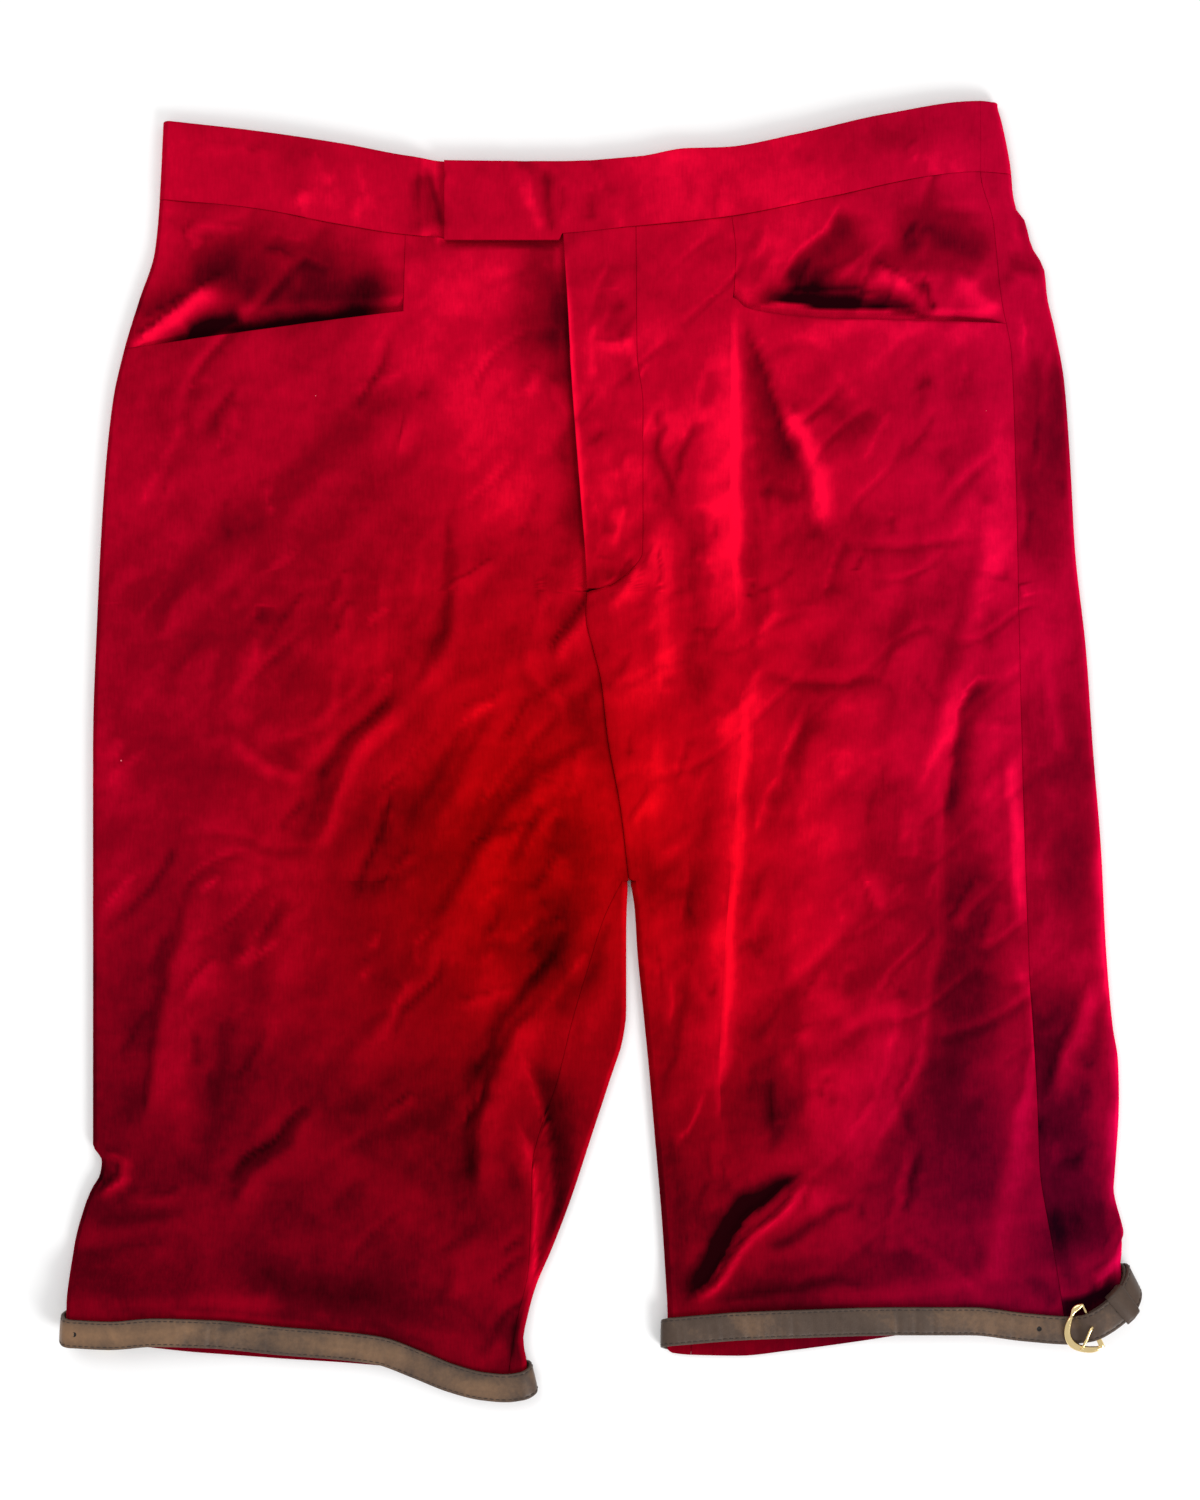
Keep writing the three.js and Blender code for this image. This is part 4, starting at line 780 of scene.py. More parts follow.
def edge_point(side, tangent, out, from_top, groups=()):
    """The rounded side of a leg."""
    top = flat_point(side, False, tangent, tangent, groups)
    return rounded(top, flat_point(side, True, tangent, tangent), EDGE_ROUND, out, from_top)


def leg_rows(side, step):
    """Rows down a leg, about step apart, and closer at cut edges and where the fly's foot curves."""
    mouth = float(pocket_mouth[side](10))
    near = EDGE_STEPS[1:]

    def to_row(y):
        return 1 + (mouth - y) / (mouth - CROTCH_Y)

    rows = [*spaced(50, step, True, True)]
    rows += [to_row(mouth - e) for e in near]
    rows += [to_row(y) for y in np.arange(mouth - near[-1] - step, FOOT_TOP + 0.5, -step)]
    rows += [to_row(y) for y in np.arange(FOOT_TOP, FLY_FOOT + 0.2, -FOOT_STEP)] + [to_row(FLY_FOOT + 0.02)]
    rows += [to_row(y) for y in np.arange(FLY_FOOT - 1, CROTCH_Y + 1, -step)]
    rows += [to_row(CROTCH_Y + 0.1)] + [2 + k for k in np.linspace(0, 1, int(round(220 / step)) + 1)]
    rows += [3.2, 3.4, 3.6, 3.8, *(4 - e / 13 for e in reversed(EDGE_STEPS[:-1]))]
    return sorted(set(np.round(rows, 6)))


def turned(y):
    """How far the left inseam lies under the leg: more, the further below the crotch."""
    return 1 + (TURN_UNDER - 1) * ease((CROTCH_Y - y) / 60)


def under_fly(x, y, z):
    """The front right panel is tucked under the fly and under the waistband's tab."""
    beside = ease((x - fly_edge(y) + 5) / 4.5) * ease((y - FLY_FOOT + 4) / 6)
    under_tab = ease((x - TAB_END + 2) / 2) * ease((y - 251) / 4)
    return mix(z, TUCKED_HIGH, np.maximum(beside, under_tab))


def behind_mouth(side):
    """A yoke runs on below its pocket mouth, behind the front panel, as the pocket's facing."""
    reach = {"right": through([(-238, 5), (-205, 8), (-180, 13), (-100, 8)]),
             "left": through([(66, 10), (90, 15), (150, 13), (168, 5), (203, 4)])}[side]

    def settle(x, y, z):
        d = x - outer_tangent["right"](y) if side == "right" else side_seam(y) - x
        low = ease((pocket_mouth[side](x) + reach(x) - y) / (reach(x) - 0.5))
        return mix(z, FACING_HIGH, low * ease((d - 1) / 8))

    return settle


def half_shorts(materials):
    """The panels of both legs, by name."""
    red = materials["velvet"]
    made = []
    step = FRONT_STEP

    side = "right"
    rows = leg_rows(side, step)
    front_lines = shifted(yoke_seam[side], SEAM)
    outer = outer_tangent[side]
    seam = shifted(outer, TURN_UNDER)

    def centre_right(y):
        below = np.where(y > CROTCH_Y, centre_seam(y) - SEAM, inseam(y))
        return np.where(y > FLY_FOOT, fly_seam(y) - 3.5, below)

    def inner_right(y):
        return np.where(y > CROTCH_Y, CENTRE_BACK - SEAM, inner_tangent[side](y))

    groups = ["leg_right"]
    turns = np.linspace(0, 1, EDGE_TURNS + 1)
    made.append(cloth("velvet_front_right", red, VELVET, -1, [
        stretch(flat_point(side, True, shifted(seam, -SEAM), outer), spaced(9, 3, True), 1),
        stretch(edge_point(side, outer, -1, False, groups), turns, 1),
        stretch(flat_point(side, False, outer, front_lines, groups, under_fly), spaced(150, step), 1),
        stretch(flat_point(side, False, front_lines, centre_right, groups, under_fly),
                spaced(110, step, True, True)),
    ], rows))

    settle = behind_mouth(side)
    near_outer, yoke_end = shifted(outer, 13), shifted(yoke_seam[side], -SEAM)
    upper = 0.9995
    yoke_rows = [*spaced(50, 1.8, True, True)[:-1], upper, *np.linspace(1.006, 1.1, 12)]
    groups = ["yoke_right"]
    made.append(cloth("velvet_yoke_right", red, VELVET, -1, [
        stretch(flat_point(side, True, shifted(seam, -SEAM), outer), spaced(9, 3, True), -math.inf, upper),
        stretch(edge_point(side, outer, -1, False, groups), turns, -math.inf, upper),
        stretch(flat_point(side, False, outer, near_outer, groups, settle), spaced(13, 2), -math.inf, upper),
        stretch(flat_point(side, False, near_outer, shifted(yoke_end, -4), groups, settle), spaced(110, 2)),
        stretch(flat_point(side, False, shifted(yoke_end, -4), yoke_end, groups, settle),
                spaced(4, 1, False, True), -math.inf, upper),
    ], yoke_rows))

    back_rows = leg_rows(side, BACK_STEP)
    groups = ["leg_right"]
    made.append(cloth("velvet_back_right", red, VELVET, 1, [
        stretch(flat_point(side, True, shifted(seam, SEAM), inner_right), spaced(255, BACK_STEP, True)),
        stretch(edge_point(side, inner_tangent[side], 1, False, groups), turns, 2),
        stretch(flat_point(side, False, inner_tangent[side], shifted(inseam, 2 * SEAM), groups),
                spaced(22, 2.4, False, True), 2),
    ], back_rows))

    side = "left"
    rows = leg_rows(side, step)
    outer, inner = outer_tangent[side], inner_tangent[side]

    def centre_left(y):
        below = np.where(y > CROTCH_Y, centre_seam(y) + SEAM, inner(y))
        return np.where(y > FLY_FOOT + 0.01, fly_seam(y) + SEAM, below)

    def leg_seam(y):
        return inner(y) + turned(y)

    def back_line(y):
        return np.where(y > CROTCH_Y + 0.01, CENTRE_BACK + SEAM, leg_seam(y) + SEAM)

    pleat = shifted(yoke_seam[side], -SEAM)
    beside_fly = through([(262, 36), (79, 36), (0, 38), (CROTCH_Y, 40), (-300, 47)])
    beside_seam = shifted(side_seam, -SEAM)
    groups = ["leg_left"]
    made.append(cloth("velvet_front_left", red, VELVET, 1, [
        stretch(flat_point(side, False, beside_seam, pleat, groups), spaced(150, step, True), 1),
        stretch(flat_point(side, False, pleat, beside_fly, groups), spaced(30, step * 0.9, True)),
        stretch(flat_point(side, False, beside_fly, centre_left, groups),
                spaced(34, step * 0.9, False, True)),
        stretch(edge_point(side, inner, -1, True, groups), turns, 2),
        stretch(flat_point(side, True, inner, shifted(leg_seam, -SEAM)), spaced(9, 3, False, True), 2),
    ], rows))

    settle = behind_mouth(side)
    yoke_start = shifted(yoke_seam[side], SEAM)
    groups = ["yoke_left"]
    made.append(cloth("velvet_yoke_left", red, VELVET, 1, [
        stretch(flat_point(side, False, beside_seam, shifted(beside_seam, -9), groups, settle),
                spaced(9, 1.5, True), -math.inf, upper),
        stretch(flat_point(side, False, shifted(beside_seam, -9), shifted(yoke_start, 4), groups, settle),
                spaced(125, 2)),
        stretch(flat_point(side, False, shifted(yoke_start, 4), yoke_start, groups, settle),
                spaced(4, 1, False, True), -math.inf, upper),
    ], yoke_rows))

    groups = ["side"]
    made.append(cloth("velvet_back_left", red, VELVET, 1, [
        stretch(flat_point(side, True, back_line, outer), spaced(220, BACK_STEP, True)),
        stretch(edge_point(side, outer, 1, False, groups), turns),
        stretch(flat_point(side, False, outer, shifted(side_seam, SEAM), groups),
                spaced(30, 2, False, True)),
    ], leg_rows(side, 3.4)))

    row = row_line(side, False)
    fly_rows = [v for v in rows if row(np.array([v]), np.array([0.0]))[0] > FLY_FOOT + 0.9]

    def raised(x, y, z):
        return z + 0.7 * ease((18 - x + fly_edge(y)) / 14)

    made.append(cloth("velvet_fly", red, VELVET, 1, [
        stretch(flat_point(side, False, shifted(fly_seam, -SEAM), fly_edge, ["fly"], raised),
                spaced(36, 1.6, True, True)),
    ], fly_rows))
    return made


def band_point(under, from_x, to_x, foot=None, drop=None):
    """The waistband's top or under layer. drop lowers it under the tab."""
    foot = foot or (lambda x: waist_seam(x) + SEAM)

    def point(t, v):
        y = np.full_like(t, 295.0)
        for _ in range(6):
            x = mix(from_x(y), to_x(y), t)
            y = mix(band_top(x) - (1 if under else 0), foot(x), v)
        if under:
            z, glow = 0 * x, 0 * x
        else:
            rise, glow = stroke_sum(["band"], x, y)
            z = band_height(x) + rise + 0.25 * crumple(x * 1.5, y * 1.5)
            glow = glow + 0.1
            if drop:
                z = np.where(drop(x) > 0.01, mix(z, band_height(x) - drop(x), ease(drop(x))), z)
        return np.stack([x, y, z], axis=-1), glow

    return point


def band_edge(tangent, out, from_top):
    top, bottom = band_point(False, tangent, tangent), band_point(True, tangent, tangent)
    return rounded(top, bottom, BAND_EDGE_HIGH / 2, out, from_top)


def waistband(materials):
    """The three pieces of the waistband."""
    red = materials["waistband"]
    reach = BAND_EDGE_HIGH / 2
    right, left = shifted(outer_edge["right"], reach), shifted(outer_edge["left"], -reach)
    back_seam = shifted(right, TURN_UNDER)
    rows = spaced(38, 2.0, True, True)
    turns = np.linspace(0, 1, EDGE_TURNS + 1)

    def at(x):
        return lambda y: x + 0 * y

    def drop(x):
        return (BAND_WALL + 3 * GAP) * ease((x - TAB_END + TAB_RAMP) / (TAB_RAMP - 2))

    def foot(x):
        return mix(TAB_FOOT, waist_seam(x) + SEAM, ease((x - TAB_STEP[1]) / (TAB_STEP[0] - TAB_STEP[1])))

    front_right = cloth("band_front_right", red, BAND_WALL, -1, [
        stretch(band_point(True, shifted(back_seam, -SEAM), right), spaced(9, 3, True)),
        stretch(band_edge(right, -1, False), turns),
        stretch(band_point(False, right, at(TAB_END - TAB_RAMP)), spaced(125, 2.4)),
        stretch(band_point(False, at(TAB_END - TAB_RAMP), at(TAB_END), drop=drop), spaced(TAB_RAMP, 1)),
        stretch(band_point(False, at(TAB_END), at(0), drop=drop), spaced(78, 4, False, True)),
    ], rows)
    front_left = cloth("band_front_left", red, BAND_WALL, 1, [
        stretch(band_point(False, shifted(side_seam, -SEAM), at(TAB_STEP[0])), spaced(210, 2.4, True)),
        stretch(band_point(False, at(TAB_STEP[0]), at(TAB_STEP[1]), foot=foot), spaced(2, 0.6)),
        stretch(band_point(False, at(TAB_STEP[1]), at(TAB_END), foot=foot), spaced(57, 1.8, False, True)),
    ], rows, flush=[0])
    back = cloth("band_back", red, BAND_WALL, 1, [
        stretch(band_point(True, shifted(back_seam, SEAM), left), spaced(410, 5, True)),
        stretch(band_edge(left, 1, False), turns),
        stretch(band_point(False, left, shifted(side_seam, SEAM)), spaced(9, 1.5, False, True)),
    ], rows, flush=[-1])
    return [front_right, front_left, back]


# A strap's way round a hem
BUCKLE_AT = {"right": -243, "left": 247}
PROUD = {"right": (1.5, 2.4), "left": (4.1, 1.7)}
FLAT_STATIONS = 110
BEND_STATIONS = 24
TIP_LENGTH = 36
HOLE_SPACING = 27
TIP_HOLE = 14.5
# How much painted sheen and wear lightens each strap
SHEEN_AND_WEAR = {"right": 1.2, "left": 0.3}
BAR = {"s": -1.2, "o": 0.95, "wide": 1.9}
RING = {"deep": 13.4, "half": 11.5, "rise": 2.5, "wide": 3.3, "thick": 2.3}
KEEPER = {"s": 16.5, "wide": 8, "wall": 1.2}
STITCH_LINE = 5.7
STITCH = {"Pitch": 0.003, "Long": 0.0022, "Thick": 0.00022}  # in metres


class StrapWay:
    """at(s, w, o): s along the strap from the buckle's bar, w across it, o out from its inner face."""

    def __init__(self, side):
        self.out = -1 if side == "right" else 1
        half = STRAP_WIDE / 2
        under_line = shifted(back_hem[side], half + 1)
        x_outer = float(outer_tangent[side](-290 if side == "right" else -264))
        x_inner = float(inner_tangent[side](-315 if side == "right" else -290))

        def steep(line, x):
            return math.atan((line(x + 1) - line(x - 1)) / 2)

        def top(x):
            y = float(strap_middle[side](x))
            stand = KEEPER_ROOM["left"] * float(ease((x - 236) / 12)) if side == "left" else 0
            across = np.array([-half, 0, half])
            z = float(np.max(top_height(side, x + 0 * across, y + across)[0]))
            return np.array([x, y, z + OVER_STRAP + stand]), steep(strap_middle[side], x)

        def under(x):
            y = float(under_line(x))
            stand = KEEPER_ROOM["right"] * float(ease((-205 - x) / 12)) if side == "right" else 0
            across = np.array([-half, 0, half])
            z = float(np.min(lift(side, x + 0 * across, y + across)))
            return np.array([x, y, z - GAP - stand]), steep(under_line, x)

        def bend(a, b, reach, way):
            def station(t):
                turn = mix(a[1], b[1], t)
                p = mix(a[0], b[0], (1 - math.cos(math.pi * t)) / 2)
                bulge = way * (EDGE_ROUND + reach) * math.sin(math.pi * t)
                return p + np.array([math.cos(turn) * bulge, math.sin(turn) * bulge, 0]), turn
            return station

        runs = [
            (lambda t: top(mix(x_inner, x_outer, t)), FLAT_STATIONS),
            (bend(top(x_outer), under(x_outer), PROUD[side][0], self.out), BEND_STATIONS),
            (lambda t: under(mix(x_outer, x_inner, t)), FLAT_STATIONS),
            (bend(under(x_inner), top(x_inner), PROUD[side][1], -self.out), BEND_STATIONS),
        ]
        stations = [run(k / n) for run, n in runs for k in range(n)]
        self.points = np.array([p for p, _ in stations] + [stations[0][0]])
        self.turns = np.array([t for _, t in stations] + [stations[0][1]])
        self.marks = np.concatenate([[0], np.cumsum(np.linalg.norm(np.diff(self.points, axis=0), axis=1))])
        self.long = self.marks[-1]
        first = 0 if side == "left" else FLAT_STATIONS + BEND_STATIONS
        run = np.arange(first, first + FLAT_STATIONS)
        self.bar = self.marks[run[np.argmin(np.abs(self.points[run, 0] - BUCKLE_AT[side]))]]

    def spot(self, s):
        m = np.mod(s + self.bar, self.long)
        p = np.stack([np.interp(m, self.marks, self.points[:, k]) for k in range(3)], axis=-1)
        return p, np.interp(m, self.marks, self.turns)

    def at(self, s, w, o):
        s, w, o = np.broadcast_arrays(np.asarray(s, float), np.asarray(w, float), np.asarray(o, float))
        p, turn = self.spot(s)
        along = self.spot(s + 1.5)[0] - self.spot(s - 1.5)[0]
        across = np.stack([-np.sin(turn), np.cos(turn), 0 * turn], axis=-1)
        outward = np.cross(along, across)
        outward *= self.out / np.linalg.norm(outward, axis=-1, keepdims=True)
        return p + across * w[..., None] + outward * o[..., None]


def swept(name, material, sections, closed, attributes=None):
    """A bar through rings of points: sections is an array of stations, points round each, and x, y, z."""
    count, sides = sections.shape[:2]
    number = np.arange(count * sides).reshape(count, sides)
    faces = []
    for i in range(count if closed else count - 1):
        a, b = number[i], number[(i + 1) % count]
        for k in range(sides):
            ahead = (k + 1) % sides
            faces.append((int(a[k]), int(a[ahead]), int(b[ahead]), int(b[k])))
    if not closed:
        faces += [tuple(int(k) for k in reversed(number[0])), tuple(int(k) for k in number[-1])]
    vertices = sections.reshape(-1, 3) * MM
    made = smooth_mesh(name, vertices, faces, attributes or {}, material)
    volume = 0.0
    for face in made.data.polygons:
        corners = [made.data.vertices[k].co for k in face.vertices]
        for k in range(1, len(corners) - 1):
            volume += corners[0].dot(corners[k].cross(corners[k + 1]))
    if volume < 0:
        made.data.flip_normals()
    return made


def strap(side, way, materials):
    """The belt strap, with rounded painted edges, a sunk stitch line by each, cross wrinkles and holes."""
    half = STRAP_WIDE / 2
    end = way.long + TIP_LENGTH
    holes = [way.long + BAR["s"], way.long + BAR["s"] - HOLE_SPACING]
    rows = np.arange(GAP, end, 1.1)
    near = [h + d for h in holes for d in np.linspace(-1.6, 1.6, 9)]
    rows = np.array(sorted([*(s for s in rows if min(abs(s - h) for h in holes) > 1.9), *near, end]))

    profile = [(-7, 0.35), (-6.75, 0.08), (-6.3, 0), (-3.5, 0), (-1.3, 0), (1.3, 0), (3.5, 0), (6.3, 0),
               (6.75, 0.08), (7, 0.35), (7, 1.3), (6.85, 1.62), (6.5, 1.76), (6.0, 1.76), (5.7, 1.66),
               (5.4, 1.78), (4.2, 1.86), (1.3, 1.9), (-1.3, 1.9), (-4.2, 1.86), (-5.4, 1.78), (-5.7, 1.66),
               (-6.0, 1.76), (-6.5, 1.76), (-6.85, 1.62), (-7, 1.3)]
    w = np.array([q[0] for q in profile])
    o = np.array([q[1] for q in profile])
    rng = np.random.default_rng(11 if side == "left" else 12)
    knots = np.arange(-5, end + 5, 1.3)
    wave = np.interp(rows, knots, rng.uniform(-1, 1, len(knots)))
    worn = 0.35 + 0.65 * ease(patchy(rows, 0 * rows, 26, 21 if side == "left" else 22) + 0.4)
    tip = np.clip((rows - end + 6) / 6.2, 0, 1)
    narrow = np.sqrt(1 - tip**2)
    over = (LEATHER + GAP) * ease((rows - way.long + 10) / 7)
    s = rows[:, None] + 0 * w
    upper = np.clip((o - 0.9) / 0.9, 0, 1)
    rise = over[:, None] + o * (1 - 0.25 * tip[:, None]) + 0.2 * (wave * worn)[:, None] * upper
    sections = way.at(s, w * narrow[:, None], rise)
    edge = np.tile(np.exp(-np.abs(half - np.abs(w)) / 0.35), len(rows))
    # Painted sheen and wear: lighter in patches along the strap and across its middle
    along = patchy(rows, 0 * rows, 45, 31) * 0.5 + SHEEN_AND_WEAR[side]
    sheen_and_wear = (along[:, None] * (1 - (w / half) ** 2 * 0.6)).ravel()
    shades = {"rim": edge, "sheen_and_wear": sheen_and_wear}
    return swept(f"leather_strap_{side}", materials["strap"], sections, False, shades), rows, over


def hole_rings(side, way, materials):
    """A pierced hole at each place along the strap: a short sleeve round a dark disc, painted shade for its
    inside.
    """
    made = []
    end = way.long
    places = [end + BAR["s"] - HOLE_SPACING, end + BAR["s"] + TIP_HOLE]
    if side == "right":
        places.append(np.mod(way.marks[FLAT_STATIONS] - 2 - way.bar, end))
    for n, s in enumerate(places):
        over = (LEATHER + GAP) * float(ease((s - end + 10) / 7))
        angle = np.linspace(0, 2 * math.pi, 21)[:-1]
        # A raised lip, then a dark disc just under the strap's face: painted shade for the hole.
        rings = [(1.25, 1.93), (1.15, 1.99), (1.0, 1.96), (0.9, 1.9), (0.02, 1.88)]
        sections = np.array([way.at(s + r * np.cos(angle), r * np.sin(angle), o + over)
                             for r, o in rings])
        made.append(swept(f"strap_hole_{side}_{n + 1}", materials["hole"], sections, False))
    return made


def buckle(side, way, materials):
    """The D ring, its straight bar under the strap."""
    count = 48
    turn = np.linspace(-math.pi / 2, math.pi / 2, count)
    bow = np.stack([BAR["s"] - RING["deep"] * np.cos(turn), RING["half"] * np.sin(turn)], axis=-1)
    bar = [(BAR["s"], w) for w in np.linspace(RING["half"] - 1.5, -RING["half"] + 1.5, 12)]
    line = np.concatenate([bow, np.array(bar)])
    deep = np.concatenate([np.cos(turn), np.zeros(len(bar))])
    ahead, behind = np.roll(line, -1, axis=0), np.roll(line, 1, axis=0)
    along = ahead - behind
    along /= np.linalg.norm(along, axis=1, keepdims=True)
    side_way = np.stack([along[:, 1], -along[:, 0]], axis=-1)
    angle = np.linspace(0, 2 * math.pi, 17)[:-1]
    wide = mix(BAR["wide"], RING["wide"], ease(deep / 0.3)) / 2
    round_w = np.sign(np.cos(angle)) * np.abs(np.cos(angle)) ** 0.8
    round_o = np.sign(np.sin(angle)) * np.abs(np.sin(angle)) ** 0.8
    r = wide[:, None] * round_w
    o = BAR["o"] + RING["rise"] * (np.maximum(0, deep) ** 0.6)[:, None] + RING["thick"] / 2 * round_o
    sections = way.at(line[:, :1] + side_way[:, :1] * r, line[:, 1:] + side_way[:, 1:] * r, o)
    return swept(f"gold_buckle_{side}", materials["buckle"], sections, True)


def prong(side, way, materials):
    """The pin, from its hole in the strap over to the ring."""
    s0 = BAR["s"]
    path = np.array([(s0, 0, 2.3), (s0, 0, 3.9), (s0 - 0.4, -0.3, 4.55), (s0 - 1.2, -1.0, 4.85),
                     (-5, -4.5, 4.85), (-8, -7.8, 4.6), (-9.8, -9.6, 4.4)])
    size = np.array([0.8, 0.8, 0.8, 0.8, 0.75, 0.65, 0.35])
    fine = np.linspace(0, len(path) - 1, 40)
    keys = np.arange(len(path))
    line = np.stack([np.interp(fine, keys, path[:, k]) for k in range(3)], axis=-1)
    size = np.interp(fine, keys, size)
    points = way.at(line[:, 0], line[:, 1], line[:, 2])
    along = np.gradient(points, axis=0)
    along /= np.linalg.norm(along, axis=1, keepdims=True)
    across = np.array([0.3, 0.95, 0])
    first = np.cross(along, across)
    first /= np.linalg.norm(first, axis=1, keepdims=True)
    second = np.cross(along, first)
    angle = np.linspace(0, 2 * math.pi, 13)[:-1]
    ring = first[:, None] * np.cos(angle)[None, :, None] + second[:, None] * np.sin(angle)[None, :, None]
    sections = points[:, None] + ring * size[:, None, None]
    return swept(f"gold_prong_{side}", materials["buckle"], sections, False)


def keeper(side, way, materials):
    """The leather loop that holds the strap's tip."""
    low, high = -GAP, 2 * LEATHER + 2 * GAP + 0.2
    corner, per_corner = 0.9, 7
    middle = (low + high) / 2
    reach = (STRAP_WIDE / 2 + GAP - corner, (high - low) / 2 - corner)
    sections = []
    for k in range(4 * per_corner):
        quarter, part = divmod(k, per_corner)
        angle = math.pi / 2 * (quarter + part / (per_corner - 1))
        dw = 1 if quarter in (0, 3) else -1
        do = 1 if quarter in (0, 1) else -1
        half = KEEPER["wide"] / 2
        ring = [(-half, 0), (0, 0), (half, 0), (half, 0.9), (half - 0.3, 1.15), (0, KEEPER["wall"]),
                (0.3 - half, 1.15), (-half, 0.9)]
        w = [dw * reach[0] + (corner + r) * math.cos(angle) for _, r in ring]
        o = [middle + do * reach[1] + (corner + r) * math.sin(angle) for _, r in ring]
        sections.append(way.at([KEEPER["s"] + s for s, _ in ring], w, o))
    edge = np.tile([1, 0, 1, 1, 0.6, 0, 0.6, 1], 4 * per_corner)
    return swept(f"leather_keeper_{side}", materials["strap"], np.array(sections), True, {"rim": edge})


def node_group(name, inputs, outputs):
    """An empty shader node group, its inputs (name: default) and outputs all plain numbers."""
    tree = bpy.data.node_groups.new(name, "ShaderNodeTree")
    for title, default in inputs.items():
        socket = tree.interface.new_socket(title, in_out="INPUT", socket_type="NodeSocketFloat")
        socket.default_value = default
    for title in outputs:
        tree.interface.new_socket(title, in_out="OUTPUT", socket_type="NodeSocketFloat")
    return tree, tree.nodes.new("NodeGroupInput"), tree.nodes.new("NodeGroupOutput")


class Wires:
    """Short ways to add nodes to a tree."""

    def __init__(self, tree):
        self.tree = tree

    def add(self, kind, inputs=None, **settings):
        node = self.tree.nodes.new(kind)
        for key, value in settings.items():
            setattr(node, key, value)
        for key, value in (inputs or {}).items():
            if isinstance(value, bpy.types.NodeSocket):
                self.tree.links.new(value, node.inputs[key])
            else:
                node.inputs[key].default_value = value
        return node

    def math(self, operation, *values, clamp=False):
        node = self.add("ShaderNodeMath", dict(enumerate(values)), operation=operation, use_clamp=clamp)
        return node.outputs[0]

    def blend(self, factor, first, second):
        node = self.add("ShaderNodeMix", {"Factor": factor, 6: first, 7: second}, data_type="RGBA")
        return node.outputs[2]

    def attribute(self, name):
        return self.add("ShaderNodeAttribute", attribute_name=name).outputs["Fac"]

    def here(self):
        return self.add("ShaderNodeTexCoord").outputs["Object"]

    def noise(self, where, scale, detail=2.0, roughness=0.5, distortion=0.0):
        node = self.add("ShaderNodeTexNoise", {"Vector": where, "Scale": scale, "Detail": detail,
                                               "Roughness": roughness, "Distortion": distortion})
        return node.outputs["Fac"]

    def ramp(self, factor, stops):
        node = self.add("ShaderNodeValToRGB", {"Fac": factor})
        elements = node.color_ramp.elements
        while len(elements) < len(stops):
            elements.new(0.5)
        for element, (place, colour) in zip(elements, stops):
            element.position = place
            element.color = (*colour, 1)
        return node.outputs["Color"]


def mottle_group():
    """Mottling at two scales, from -1 to 1: patches of brushed pile or worn leather."""
    tree, inside, out = node_group("mottle", {"Coarse": 20.0, "Fine": 90.0}, ["Patches", "Specks"])
    w = Wires(tree)
    where = w.here()
    coarse = w.noise(where, inside.outputs["Coarse"], 3.0, 0.55, 0.6)
    fine = w.noise(where, inside.outputs["Fine"], 4.0, 0.6, 0.3)
    tree.links.new(w.math("MULTIPLY_ADD", coarse, 2.0, -1.0), out.inputs["Patches"])
    tree.links.new(w.math("MULTIPLY_ADD", fine, 2.0, -1.0), out.inputs["Specks"])
    return tree


def grain_group():
    """Fine relief: nap and weave of cloth, or pores of leather."""
    tree, inside, out = node_group("grain", {"Size": 0.001, "Pores": 0.0}, ["Height"])
    w = Wires(tree)
    where = w.here()
    scale = w.math("DIVIDE", 1.0, inside.outputs["Size"])
    nap = w.noise(where, scale, 3.0, 0.7)
    cells = w.add("ShaderNodeTexVoronoi", {"Vector": where, "Scale": scale}, feature="DISTANCE_TO_EDGE")
    pores = w.math("MULTIPLY", cells.outputs["Distance"], inside.outputs["Pores"])
    tree.links.new(w.math("ADD", nap, pores), out.inputs["Height"])
    return tree


def pile_group():
    """Brushed streaks along the pile, and stray lint as a mask."""
    tree, inside, out = node_group("pile", {"Streak": 0.13, "Amount": 1.0}, ["Streaks", "Lint"])
    w = Wires(tree)
    where = w.here()
    drawn = w.add("ShaderNodeMapping", {"Vector": where, "Scale": (1.0, 0.14, 1.0)}).outputs["Vector"]
    streaks = w.math("SUBTRACT", w.noise(drawn, 950.0, 2.0, 0.6), 0.5)
    tree.links.new(w.math("MULTIPLY", streaks, inside.outputs["Streak"]), out.inputs["Streaks"])
    cells = w.add("ShaderNodeTexVoronoi", {"Vector": where, "Scale": 30.0, "Randomness": 1.0})
    close = w.math("LESS_THAN", cells.outputs["Distance"], 0.013)
    lot = w.add("ShaderNodeSeparateColor", {"Color": cells.outputs["Color"]}).outputs[0]
    lint = w.math("MULTIPLY", close, w.math("GREATER_THAN", lot, 0.72))
    tree.links.new(w.math("MULTIPLY", lint, inside.outputs["Amount"]), out.inputs["Lint"])
    return tree


def use_group(w, tree, **values):
    """One use of a node group, with its inputs set."""
    node = w.add("ShaderNodeGroup", node_tree=tree)
    for key, value in values.items():
        node.inputs[key].default_value = value
    return node


def new_material(name):
    material = bpy.data.materials.new(name)
    material.use_nodes = True
    w = Wires(material.node_tree)
    shader = material.node_tree.nodes["Principled BSDF"]
    return material, w, shader


# The red of the velvet, from darkest to lightest, for painted shade and highlight and for the lie of the pile
NAP_AND_SHADE_COLOURS = [(0.0, (0.011, 0.0006, 0.0015)), (0.1, (0.032, 0.0004, 0.0022)), (0.25, (0.085, 0.0004, 0.004)),
               (0.5, (0.235, 0.0004, 0.0075)), (0.75, (0.46, 0.0006, 0.0155)), (1.0, (0.86, 0.002, 0.03))]
LINT = (0.75, 0.2, 0.24, 1)


